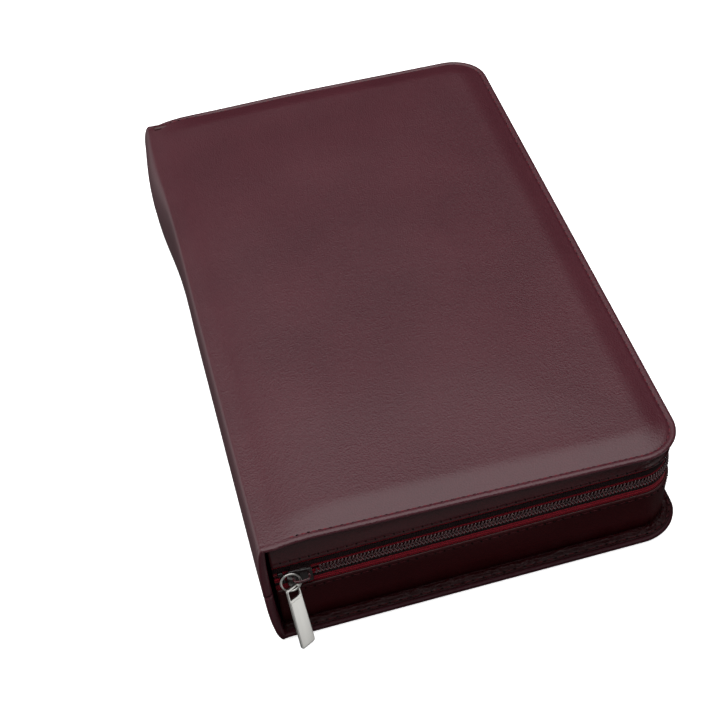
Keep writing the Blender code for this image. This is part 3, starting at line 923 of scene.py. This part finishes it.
def cover_stitches():
    """The stitches near the covers' edge, and the finer ones on the back cover's brim."""
    left = CREASE_X + 7 * MM
    length = edge_length(left)

    def at_inset(along, inset):
        x, y, out_x, out_y = on_edge(along, left)
        return x - out_x * inset, y - out_y * inset

    def on_front(along):
        x, y = at_inset(along, STITCH_INSET)
        lift = padded_height(STITCH_INSET, FRONT_SWELL) * away_from_spine(x) - crease_dip(x)
        return skin(True, x, y, lift), FRONT_NORMAL

    def under_back(along):
        x, y = at_inset(along, STITCH_INSET)
        return skin(False, x, y, padded_height(STITCH_INSET, BACK_SWELL) - BACK_LIFT), DOWN

    def on_flange(along):
        x, y = at_inset(along, STITCH_INSET - 0.1 * MM)
        return Vector((x, y, FLANGE_TOP - 0.28 * MM)), Vector((0, 0, 1))

    stitch_row("front_cover_stitches", on_front, length, "front_case", THREAD, 0.26 * MM)
    stitch_row("back_cover_stitches", under_back, length, "back_case", THREAD, 0.26 * MM)
    stitch_row("back_brim_stitches", on_flange, length, "back_case", SHADED_THREAD, 0.17 * MM)


# ---------------------------------------------------------------- gussets
LIPS = {"lower": 1.4 * MM, "upper": 2.1 * MM}  # where each flange starts to turn in


def wall_at(level, wall_end, z):
    """The wall's inset at a height."""
    foot, edge = WALLS[level]
    return foot + (edge - foot) * (z - FLANGE) / (wall_end - FLANGE)


def gusset_profile(level, wall_end):
    """(outside, inside) points (inset, height): the wall with its turned edge and flange, and its back."""
    foot, edge = WALLS[level]
    top = FLANGE_TOP
    r = 0.45 * MM
    turn = 0.4 * MM
    outside = arc((edge + WALL_LEATHER / 2, wall_end - r), WALL_LEATHER / 2, 0, 180, 8)
    outside += [(wall_at(level, wall_end, z), z) for z in steps(wall_end - 1.2 * MM, top + turn, 14)]
    outside += arc((wall_at(level, wall_end, top) - turn, top + turn), turn, 0, -90, 4)[1:]
    outside += [(i, top) for i in steps(foot - turn, LIPS[level], 14)[1:]]
    outside += arc((LIPS[level], FLANGE + FLANGE_LEATHER / 2), FLANGE_LEATHER / 2, 90, 270, 6)[1:]
    inner, bend = foot + WALL_LEATHER, 0.6 * MM
    inside = [(inner - bend, FLANGE), (inner, FLANGE + bend), (edge + WALL_LEATHER, wall_end - 2 * MM)]
    return outside, inside


def ridged(x, y, seed):
    """Sharp creases between soft swells, from 0 to about 1."""
    return 1 - 2.2 * abs(noise.noise(Vector((x, y, seed))))


def gusset(level, wall_end, height, body):
    outside, inside = gusset_profile(level, wall_end)
    profile = outside + inside
    top = FLANGE_TOP
    lower_one = level == "lower"
    seed = 5.0 if lower_one else 11.0

    def change(along, index):
        if index >= len(outside):
            return 0.0, 0.0
        inset, z = profile[index]
        turn = cornering(along)
        broad = noise.noise(Vector((along * 170, inset * 60, seed + 4)))
        gather = math.sin(along * math.tau / (2.4 * MM) + 3 * noise.noise(Vector((along * 90, 1, seed))))
        up = 0.0
        if lower_one and z < top + 0.2 * MM:
            puffed = smoothstep(inset, 2.1 * MM, 2.9 * MM) * (1 - smoothstep(inset, 3.7 * MM, 4.3 * MM))
            creases = ridged(along * 230, inset * 190, seed)
            creases += 0.7 * ridged(along * 560, inset * 420, seed + 4)
            up = puffed * MM * (0.3 + 0.5 * creases + 0.5 * turn * gather)
            up -= 0.25 * MM * bell(inset, STITCH_INSET - 0.1 * MM, 0.4 * MM)
        wall_share = smoothstep(z, top + 0.5 * MM, top + 4 * MM)
        wall_share *= 1 - smoothstep(z, wall_end - 3 * MM, wall_end - MM)
        bulge = 0.4 * noise.noise(Vector((along * 24, z * 70, seed + 8)))
        bulge += 0.15 * noise.noise(Vector((along * 95, z * 40, seed + 9)))
        if not lower_one:
            bulge -= 0.9 * turn
        out = bulge * wall_share
        if lower_one and z > top + 0.5 * MM:
            out += smoothstep(z, top + 6 * MM, top + 1 * MM) * 0.4 * (broad + 0.6 * turn * gather)
        return -MM * out, up

    piece = sweep(f"{level}_gusset_leather", profile, height, step=0.7 * MM, change=change)
    # the gusset walls take darker copies of the cover leather: painted shade
    show(piece, LOWER_GUSSET_SHADED_LEATHER if lower_one else UPPER_GUSSET_SHADED_LEATHER, body, LEATHER_SLOT, f"{level}_gusset")
    seam_z = wall_end - 1.6 * MM

    def seam(along):
        x, y, out_x, out_y = on_edge(along)
        inset = wall_at(level, wall_end, seam_z)
        return Vector((x - out_x * inset, y - out_y * inset, height(x, seam_z))), Vector((out_x, out_y, 0))

    name = f"{level}_gusset_stitches"
    stitch_row(name, seam, edge_length(), body, SHADED_THREAD, 0.16 * MM, pitch=2.9 * MM, stitch=2.2 * MM)


# ---------------------------------------------------------------- zip
def zip_tape(level, wall_end, height, body):
    """The woven tape and, beside the coil, its sewn cord, near black; above the upper coil the cord is
    widened into a band of painted shade.
    """
    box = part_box(f"{level}_zip_tape")
    thick = 0.6 * MM
    if level == "lower":
        low, high = box[0].z, box[1].z
    else:
        low, high = wall_end - 2.5 * MM, THICKNESS - box[0].z
    inset = TAPE_INSET
    profile = [(inset, z) for z in steps(low, high, 8)] + [(inset + thick, z) for z in steps(high, low, 8)]
    piece = sweep(f"{level}_zip_tape_weave", profile, height, step=2 * MM)
    show(piece, TAPE, body, "zip_tape", f"{level}_zip_tape")
    edge = high - 1.5 * MM
    # above the upper coil the cord is made wider: a near-black band of painted shade under the front cover
    half = 0.65 * MM if level == "lower" else 1.1 * MM
    cord = arc((inset + 0.1 * MM, edge - half), half, 90, 270, 8)
    cord = [(inset + 0.05 * MM - (inset + 0.1 * MM - i) * 0.35, z) for i, z in cord]
    cord += [(inset + 0.3 * MM, edge - 2 * half), (inset + 0.3 * MM, edge)]
    show(sweep(f"{level}_zip_cord", cord, height, step=2 * MM), CORD_AND_SHADE, body, "zip_tape")


def zip_coil(level, body):
    """One nylon coil: a flattened helix whose heads reach past the zip's middle."""
    side = -1 if level == "lower" else 1
    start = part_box(f"{level}_zip_coil")[0].x + 0.4 * MM
    length = edge_length(start)
    pitch = 1.15 * MM
    turns = int((length - 8 * MM) / pitch)
    per_turn, wire = 12, 0.21 * MM
    middle, reach, depth = ZIP_Z + side * 0.72 * MM, 0.88 * MM, 0.27 * MM
    shift = 0.5 if side > 0 else 0.0
    path = []
    for i in range(turns * per_turn + 1):
        turn = i / per_turn
        angle = math.tau * turn
        lean = turn + 0.22 * math.sin(angle)
        along = (lean + shift) * pitch
        x, y, out_x, out_y = on_edge(max(0.0, along), start)
        inset = TAPE_INSET - wire - depth - 0.02 * MM - depth * math.cos(angle)
        z = middle + side * reach * math.sin(angle)
        path.append(Vector((x - out_x * inset, y - out_y * inset, z)))
    coil = tube(f"{level}_zip_coil_loops", path, wire, sides=6)
    show(coil, COIL, body, "zip_coil", f"{level}_zip_coil")


def zip_ends():
    """The two small metal top stops and the moulded bottom stop."""
    for level, body in (("lower", "back_case"), ("upper", "front_case")):
        low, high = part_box(f"{level}_top_stop")
        stop = rounded_box(f"{level}_top_stop_clamp", low - Vector((0, 0.3, 0)) * MM, high, 0.3 * MM)
        show(stop, BLACK_LACQUER, body, "zip_coil", f"{level}_top_stop")
    low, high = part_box("zip_bottom_stop")
    stop = rounded_box("zip_bottom_stop_block", low, high, 0.35 * MM)
    show(stop, COIL, "back_case", "zip_coil", "zip_bottom_stop")


def rounded_box(name, low, high, radius):
    corners = [(x, y, z) for x in (low[0], high[0]) for y in (low[1], high[1]) for z in (low[2], high[2])]
    faces = [(0, 1, 3, 2), (4, 6, 7, 5), (0, 4, 5, 1), (2, 3, 7, 6), (0, 2, 6, 4), (1, 5, 7, 3)]
    return bevelled(turn_out(mesh_of(name, corners, faces)), radius, 4)


def plate(name, outline, low, high, place, radius, segments=3):
    """An extruded outline of (a, b) points with rounded edges. place(a, b, c) gives the point."""
    count = len(outline)
    points = [place(a, b, low) for a, b in outline] + [place(a, b, high) for a, b in outline]
    faces = [tuple(range(count)), tuple(range(count, 2 * count))[::-1]]
    faces += [(i, (i + 1) % count, count + (i + 1) % count, count + i) for i in range(count)]
    return bevelled(turn_out(mesh_of(name, points, faces)), radius, segments, angle=50)


# ---------------------------------------------------------------- slider, ring and tab
def slider():
    low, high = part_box("slider_body")
    left, right = low.x, high.x
    half = (high.z - low.z) / 2
    face = low.y
    depth = high.y - face

    def facing(a, b, c):
        return Vector((a, face + c, ZIP_Z + b))

    def crown(length_low, length_high, wide, narrow):
        """The slider's outline: a wide round nose at the spine end, with a waist behind it."""
        r = 1.5 * MM
        top = arc((length_low + r, wide - r), r, 180, 90, 6)
        top += [(length_low + 3.4 * MM, wide), (length_low + 5 * MM, narrow + 0.12 * MM)]
        top += arc((length_high - 0.7 * MM, narrow - 0.7 * MM), 0.7 * MM, 90, 0, 4)
        return top + [(a, -b) for a, b in reversed(top)]

    outline = crown(left, right, half, half * 0.86)
    pieces = [
        plate("face", outline, 0, 1 * MM, facing, 0.32 * MM),
        plate("back", outline, depth - 0.8 * MM, depth, facing, 0.25 * MM),
    ]
    for side in (-1, 1):
        flange = [
            (left + 1.4 * MM, side * half * 0.99),
            (left + 3.4 * MM, side * half * 0.97),
            (right - 0.2 * MM, side * half * 0.84),
            (right - 0.2 * MM, side * (half * 0.84 - 0.7 * MM)),
            (left + 3.2 * MM, side * (half * 0.97 - 0.75 * MM)),
            (left + 1.6 * MM, side * (half * 0.99 - 0.75 * MM)),
        ]
        pieces.append(plate("flange", flange, 0.5 * MM, 2.3 * MM, facing, 0.12 * MM, 2))
    near, far, post_half = left + 0.2 * MM, left + 2 * MM, 0.3 * MM
    post = [(near, -post_half), (far, -post_half), (far, post_half), (near, post_half)]
    pieces.append(plate("post", post, 0.6 * MM, depth - 0.3 * MM, facing, 0.08 * MM, 2))
    show(joined("slider_casting", pieces), BLACK_LACQUER, "slider", "painted_slider", "slider_body")

    low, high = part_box("slider_bail")
    bend, metal = 1.3 * MM, 0.35 * MM
    crown_y, foot_y = low.y + metal, high.y + 0.5 * MM
    a, b = low.x + metal, high.x - metal
    path = [(a, foot_y), (a, (foot_y + crown_y) / 2)]
    path += arc((a + bend, crown_y + bend), bend, 180, 270, 6)
    path += [((a + b) / 2, crown_y - 0.12 * MM)]
    path += arc((b - bend, crown_y + bend), bend, 270, 360, 6)
    path += [(b, (foot_y + crown_y) / 2), (b, foot_y)]
    spots = [Vector((x, y, (low.z + high.z) / 2)) for x, y in path]
    bail = tube("slider_bail_bar", spots, 0.58 * MM, sides=12, flat=0.62)
    show(bail, RED_LACQUER, "slider", "painted_slider", "slider_bail")


def ring_places():
    """The ring's centre, its directions across and down, and its middle radius, from the CAD ring."""
    points = [v.co.copy() for v in frame["nodes"]["pull_ring"].data.vertices]
    centre = sum(points, Vector()) / len(points)
    axis = Vector(JOINTS["pull_ring"]["axis"]).normalized()
    across = Vector((1, 0, 0)) - axis * axis.x
    across.normalize()
    down = across.cross(axis)
    down = -down if down.z > 0 else down
    reach = [math.hypot((p - centre).dot(across), (p - centre).dot(down)) for p in points]
    return centre, across, down, (max(reach) + min(reach)) / 2


def ring():
    centre, across, down, radius = ring_places()
    angles = [math.tau * i / 64 for i in range(64)]
    path = [centre + across * (radius * math.cos(a)) + down * (radius * math.sin(a)) for a in angles]
    piece = tube("pull_ring_wire", path, 0.35 * MM, sides=12, closed=True, up=across.cross(down))
    show(piece, NICKEL, "pull_ring", "satin_nickel", "pull_ring")


TAB_LENGTH = 24.1 * MM
TAB_TOP, TAB_END = 4.8 * MM, 5.4 * MM
TAB_METAL = 0.8 * MM
TAB_BAR, TAB_SLOT, TAB_SIDE = 0.7 * MM, 3.6 * MM, 0.5 * MM
TAB_TILT, TAB_LEAN, TAB_TWIST = math.radians(9), math.radians(2), math.radians(32)


def flat_curve(name, outlines, thickness, edge):
    """A flat plate with holes and rounded edges, standing in the XZ plane, made from a curve."""
    curve = bpy.data.curves.new(name, "CURVE")
    curve.dimensions = "2D"
    curve.fill_mode = "BOTH"
    curve.extrude = thickness / 2 - edge
    curve.bevel_depth = edge
    curve.bevel_resolution = 3
    curve.offset = -edge
    for outline in outlines:
        spline = curve.splines.new("POLY")
        spline.points.add(len(outline) - 1)
        for point, (a, b) in zip(spline.points, outline):
            point.co = (a, b, 0, 1)
        spline.use_cyclic_u = True
    obj = freeze(link(name, curve))
    obj.data.transform(Matrix.Rotation(math.radians(90), 4, "X"))
    bm = bmesh.new()
    bm.from_mesh(obj.data)
    bmesh.ops.remove_doubles(bm, verts=bm.verts, dist=0.002 * MM)
    bm.to_mesh(obj.data)
    bm.free()
    obj.data.shade_smooth()
    obj.data.set_sharp_from_angle(angle=math.radians(40))
    return turn_out(obj)


def pull_tab():
    pivot = Vector(JOINTS["pull_tab"]["pos_m"])
    r, slot_r, panel_r = 0.9 * MM, 0.5 * MM, 0.6 * MM
    top, end = TAB_TOP / 2, TAB_END / 2
    high = TAB_BAR / 2
    low = high - TAB_LENGTH
    outer = arc((r - end, low + r), r, 180, 270, 8) + arc((end - r, low + r), r, 270, 360, 8)
    outer += arc((top - r, high - r), r, 0, 90, 8) + arc((r - top, high - r), r, 90, 180, 8)
    side = top - TAB_SIDE
    slot_high, slot_low = -high, -high - TAB_SLOT
    hole = arc((slot_r - side, slot_low + slot_r), slot_r, 180, 270, 6)
    hole += arc((side - slot_r, slot_low + slot_r), slot_r, 270, 360, 6)
    hole += arc((side - slot_r, slot_high - slot_r), slot_r, 0, 90, 6)
    hole += arc((slot_r - side, slot_high - slot_r), slot_r, 90, 180, 6)
    body = flat_curve("tab", [outer, hole], TAB_METAL, 0.14 * MM)
    panel_top = slot_low - 0.9 * MM
    inset = 0.28 * MM
    share = (high - panel_top) / TAB_LENGTH
    wide_top = top + (end - top) * share - inset
    wide_end = end - inset
    panel = arc((panel_r - wide_end, low + inset + panel_r), panel_r, 180, 270, 6)
    panel += arc((wide_end - panel_r, low + inset + panel_r), panel_r, 270, 360, 6)
    panel += [(wide_top, panel_top), (-wide_top, panel_top)]
    raised = flat_curve("panel", [panel], TAB_METAL + 0.24 * MM, 0.1 * MM)
    piece = joined("pull_tab_plate", [body, raised])
    lean, tilt = Matrix.Rotation(-TAB_LEAN, 4, "Y"), Matrix.Rotation(-TAB_TILT, 4, "X")
    turn = lean @ tilt @ Matrix.Rotation(TAB_TWIST, 4, "Z")
    piece.data.transform(Matrix.Translation(pivot) @ turn)
    show(piece, NICKEL, "pull_tab", "satin_nickel", "pull_tab")


# ---------------------------------------------------------------- leaves and linings
def slab(name, inset, left, radius, low, high, height, sag=0.0, levels=2):
    """A flat layer with round fore-edge corners, between two heights on the back or the front cover."""
    right, half = EDGE_X - inset, EDGE_Y - inset
    outline = [(x, -half) for x in steps(left, right - radius, 10)[:-1]]
    outline += arc((right - radius, radius - half), radius, -90, 0, 12)
    outline += [(right, y) for y in steps(radius - half, half - radius, 16)[1:-1]]
    outline += arc((right - radius, half - radius), radius, 0, 90, 12)
    outline += [(x, half) for x in reversed(steps(left, right - radius, 10)[:-1])]
    count = len(outline)
    points, faces = [], []
    heights = steps(low, high, levels)
    for k, z in enumerate(heights):
        bow = sag * math.sin(math.pi * k / levels)
        for x, y in outline:
            points.append((x + bow * smoothstep(x, left, right), y, height(x, z)))
    for k in range(levels):
        for i in range(count):
            j = (i + 1) % count
            faces.append((k * count + i, k * count + j, (k + 1) * count + j, (k + 1) * count + i))
    faces += [tuple(range(count)), tuple(levels * count + i for i in range(count))]
    obj = turn_out(mesh_of(name, points, faces))
    obj.data.set_sharp_from_angle(angle=math.radians(40))
    return obj


LEAF_INSET = EDGE_Y - PAGE_HALF
LEAF_CORNER = 8 * MM


def leaves(side, body):
    """A half of the leaves: printed paper on the faces and gilt on the edges."""
    height = lower if side == "rear" else upper_leaves
    for i in (1, 2, 3):
        node = f"{side}_leaves_{i}"
        low, high = (corner.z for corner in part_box(f"rear_leaves_{i}"))
        piece = slab(f"{node}_block", LEAF_INSET, PAGE_LEFT, LEAF_CORNER, low, high, height, 0.15 * MM, 4)
        show(piece, EDGES, body, "bible_paper", node)
        piece.data.materials.append(PRINT)
        for face in piece.data.polygons:
            if abs(face.normal.z) > 0.9:
                face.material_index = 1
    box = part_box("rear_endleaf")
    piece = slab(f"{side}_endleaf_sheet", LEAF_INSET, PAGE_LEFT, LEAF_CORNER, box[0].z, box[1].z, height)
    paper = paper_material(f"{side}_endpaper", (0.07, 0.014, 0.018), (0.11, 0.024, 0.03))
    show(piece, paper, body, "endleaf_paper", f"{side}_endleaf")


def upper_leaves(x, z):
    """As upper(), for the leaves, whose slope starts at the zip's height."""
    z = THICKNESS - z
    still, full = ZIP_Z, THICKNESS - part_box("rear_endleaf")[0].z + 0.3 * MM
    share = min(1, max(0, (z - still) / (full - still)))
    return z - share * FORE_SLOPE * (x - CREASE_X)


def upper_full(x, z):
    """As upper(), with the whole slope at every height."""
    return THICKNESS - z - FORE_SLOPE * (x - CREASE_X)


def linings():
    paper = paper_material("case_lining", (0.06, 0.012, 0.016), (0.1, 0.022, 0.027))
    low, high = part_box("back_cover_lining")
    inset = EDGE_Y - high.y
    for side, height in (("back", lower), ("front", upper_full)):
        piece = slab(f"{side}_lining_sheet", inset, low.x, CORNER_RADIUS - inset, low.z, high.z, height)
        show(piece, paper, f"{side}_case", "lining_paper", f"{side}_cover_lining")
    finish(frame["nodes"]["spine_lining"], paper)


def ribbon():
    """The page marker, 10 mm wide, slanting across the middle page with a notched end."""
    low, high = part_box("ribbon_marker")
    wide = 10 * MM
    drift = (high.x - low.x) - wide
    length = high.y - low.y
    z = (low.z + high.z) / 2
    rows, across = 60, 6
    points = []
    for i in range(rows + 1):
        t = i / rows
        for j in range(across + 1):
            u = j / across
            notch = 4 * MM * (1 - abs(2 * u - 1)) * (1 if i == rows else 0)
            x = low.x + drift * t + wide * u + 0.8 * MM * math.sin(5 * t)
            points.append((x, high.y - length * t + notch, z + 0.08 * MM * math.sin(9 * t + 4 * u)))
    piece = thickened(mesh_of("ribbon_marker_strip", points, grid_faces(rows + 1, across + 1)), 0.15 * MM)
    show(piece, ribbon_material(), "back_case", "ribbon_satin", "ribbon_marker")


FOAM_TOP, FOAM_UNDERSIDE = 1.5 * MM, 3.0 * MM  # below the cover's plane
UNDER_SKIN = 0.55 * MM  # from the outer leather's plane to the foam, where the leather sinks
FOAM_LEAST = 0.12 * MM


def front_padding(foam):
    """The front cover's foam, which follows the leather down towards the spine."""
    low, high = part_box("back_cover_padding")
    inset = EDGE_Y - high.y
    left, right, half = low.x, EDGE_X - inset, EDGE_Y - inset
    radius = CORNER_RADIUS - inset
    columns = steps(left, right - radius, 28) + steps(right - radius, right, 6)[1:]
    rows = steps(-half, radius - half, 6) + steps(radius - half, half - radius, 40)[1:-1]
    rows += steps(half - radius, half, 6)
    upper_side, under_side = [], []
    for y in rows:
        for x in columns:
            a, b = max(0, x - right + radius), max(0, abs(y) - half + radius)
            pull = max(a, b) / math.hypot(a, b) if a and b else 1
            px, py = x - a * (1 - pull), y - math.copysign(b * (1 - pull), y)
            plane = THICKNESS - FORE_SLOPE * (px - CREASE_X)
            top = plane - max(FOAM_TOP, sunk(px, py) + crease_dip(px) + UNDER_SKIN)
            upper_side.append((px, py, top))
            under_side.append((px, py, min(plane - FOAM_UNDERSIDE, top - FOAM_LEAST)))
    wide, tall = len(columns), len(rows)
    total = wide * tall
    faces = grid_faces(tall, wide)
    faces += [tuple(total + i for i in face[::-1]) for face in faces]
    rim = list(range(wide)) + [r * wide + wide - 1 for r in range(1, tall)]
    rim += [(tall - 1) * wide + c for c in range(wide - 2, -1, -1)]
    rim += [r * wide for r in range(tall - 2, 0, -1)]
    faces += [(a, b, total + b, total + a) for a, b in zip(rim, rim[1:] + rim[:1])]
    piece = turn_out(mesh_of("front_padding_foam", upper_side + under_side, faces))
    show(piece, foam, "front_case", "foam", "front_cover_padding")


def inner_nodes():
    """The pieces that keep their CAD shape get finished materials."""
    foam = paper_material("padding_foam", (0.55, 0.52, 0.42), (0.72, 0.69, 0.58), 1500)
    board = paper_material("grey_board", (0.28, 0.26, 0.22), (0.42, 0.39, 0.34), 500)
    mull = Shader("gauze_mull", roughness=0.9)
    warp, weft = (mull.wave(700, mull.place(), direction=axis) for axis in ("Y", "Z"))
    threads = mull.mix(0.5, warp, weft)
    mull.colour(mull.ramp(threads, (0.2, (0.4, 0.36, 0.28)), (0.8, (0.8, 0.76, 0.66))))
    mull.bump(threads, 0.15 * MM)
    silk = silk_material()
    front_padding(foam)
    by_ending = {"back_cover_padding": foam, "_board": board, "_mull": mull.material, "band": silk}
    for name, obj in frame["nodes"].items():
        for ending, material in by_ending.items():
            if name.endswith(ending):
                finish(obj, material)


# ---------------------------------------------------------------- studio
FLOOR_HALF, COVE, BACKDROP_TOP = 3.0, 0.8, 3.5
FLOOR_GAP = 0.4 * MM  # the floor lies this far below the back cover
BASE_LIGHT = 0.03
CAMERA_AZIMUTH = math.radians(-7.284)
CAMERA_ELEVATION = math.radians(43.175)
CAMERA_ROLL = math.radians(-9.313)
CAMERA_TARGET = Vector((-0.02089, -0.05397, 0.05152))
CAMERA_DISTANCE, CAMERA_LENS, SENSOR_WIDTH = 0.5357, 85.46, 36  # the last two in mm, as Blender takes them


def backdrop():
    """A white floor that turns up into walls. It lights nothing: the sky does that."""
    rings = [(0.02, 0.0), (FLOOR_HALF - COVE, 0.0)]
    rings += [(a, b) for a, b in arc((FLOOR_HALF - COVE, COVE), COVE, -90, 0, 10)[1:]]
    rings += [(FLOOR_HALF, BACKDROP_TOP)]
    sides = 64
    turns = [math.tau * i / sides for i in range(sides)]
    points = [(r * math.cos(a), r * math.sin(a), z - FLOOR_GAP) for r, z in rings for a in turns]
    faces = grid_faces(len(rings), sides, round_columns=True) + [tuple(range(sides))]
    floor = mesh_of("floor", points, faces)
    s = Shader("white_floor", roughness=0.9, specular=0.0)
    s.colour(s.ramp(s.noise(3), (0.3, (0.86, 0.86, 0.86)), (0.7, (0.9, 0.9, 0.9))))
    s.out.inputs["Emission Color"].default_value = (1, 1, 1, 1)
    s.out.inputs["Emission Strength"].default_value = 0.75
    floor.data.materials.append(s.material)
    floor.visible_diffuse = floor.visible_glossy = floor.visible_transmission = floor.visible_shadow = False


def lobe(tree, direction, low, high, strength):
    """Light from around one direction of the sky, fading from its middle."""
    place = tree.nodes.new("ShaderNodeTexCoord")
    dot = tree.nodes.new("ShaderNodeVectorMath")
    dot.operation = "DOT_PRODUCT"
    dot.inputs[1].default_value = Vector(direction).normalized()
    tree.links.new(place.outputs["Generated"], dot.inputs[0])
    fade = tree.nodes.new("ShaderNodeMapRange")
    fade.interpolation_type = "SMOOTHSTEP"
    fade.inputs["From Min"].default_value = low
    fade.inputs["From Max"].default_value = high
    fade.inputs["To Max"].default_value = strength
    tree.links.new(dot.outputs["Value"], fade.inputs["Value"])
    return fade.outputs["Result"]


def sky():
    """A soft light overhead, a dim one on the left for the spine, and two low ones in front for the zip."""
    world = bpy.data.worlds.new("studio")
    bpy.context.scene.world = world
    world.use_nodes = True
    tree = world.node_tree
    lobes = [
        lobe(tree, (0, -0.04, 1), 0.615, 0.81, 2.35),
        lobe(tree, (0.77, -0.51, -0.38), 0.9, 0.99, 1.15),
        lobe(tree, (-1, 0.3, 0.1), 0.55, 0.95, 1.05),
        lobe(tree, (0.09, -0.88, -0.46), 0.9, 0.99, 0.4),
    ]
    total = tree.nodes.new("ShaderNodeValue").outputs[0]
    total.default_value = BASE_LIGHT
    for light in lobes:
        added = tree.nodes.new("ShaderNodeMath")
        tree.links.new(light, added.inputs[0])
        tree.links.new(total, added.inputs[1])
        total = added.outputs[0]
    tree.links.new(total, tree.nodes["Background"].inputs["Strength"])
    tree.nodes["Background"].inputs["Color"].default_value = (1, 1, 1, 1)


def studio():
    backdrop()
    sky()
    level = Vector((math.sin(CAMERA_AZIMUTH), -math.cos(CAMERA_AZIMUTH), 0))
    back = level * math.cos(CAMERA_ELEVATION) + Vector((0, 0, math.sin(CAMERA_ELEVATION)))
    right = Vector((0, 0, 1)).cross(back).normalized()
    up = back.cross(right)
    turned_right = right * math.cos(CAMERA_ROLL) + up * math.sin(CAMERA_ROLL)
    turned_up = up * math.cos(CAMERA_ROLL) - right * math.sin(CAMERA_ROLL)
    data = bpy.data.cameras.new("camera")
    data.lens = CAMERA_LENS
    data.sensor_width = SENSOR_WIDTH
    data.clip_start = 0.01
    camera = link("camera", data)
    rotation = Matrix((turned_right, turned_up, back)).transposed()
    camera.matrix_world = Matrix.Translation(CAMERA_TARGET + back * CAMERA_DISTANCE) @ rotation.to_4x4()
    bpy.context.scene.camera = camera
    bpy.context.scene.view_settings.view_transform = "Standard"


studio()
case_leather("front")
case_leather("back")
cover_stitches()
gusset("lower", LOWER_WALL_END, lower, "back_case")
gusset("upper", UPPER_WALL_END, upper, "front_case")
zip_tape("lower", LOWER_WALL_END, lower, "back_case")
zip_tape("upper", UPPER_WALL_END, upper, "front_case")
zip_coil("lower", "back_case")
zip_coil("upper", "front_case")
zip_ends()
slider()
ring()
pull_tab()
leaves("rear", "back_case")
leaves("front", "front_leaves")
linings()
ribbon()
inner_nodes()
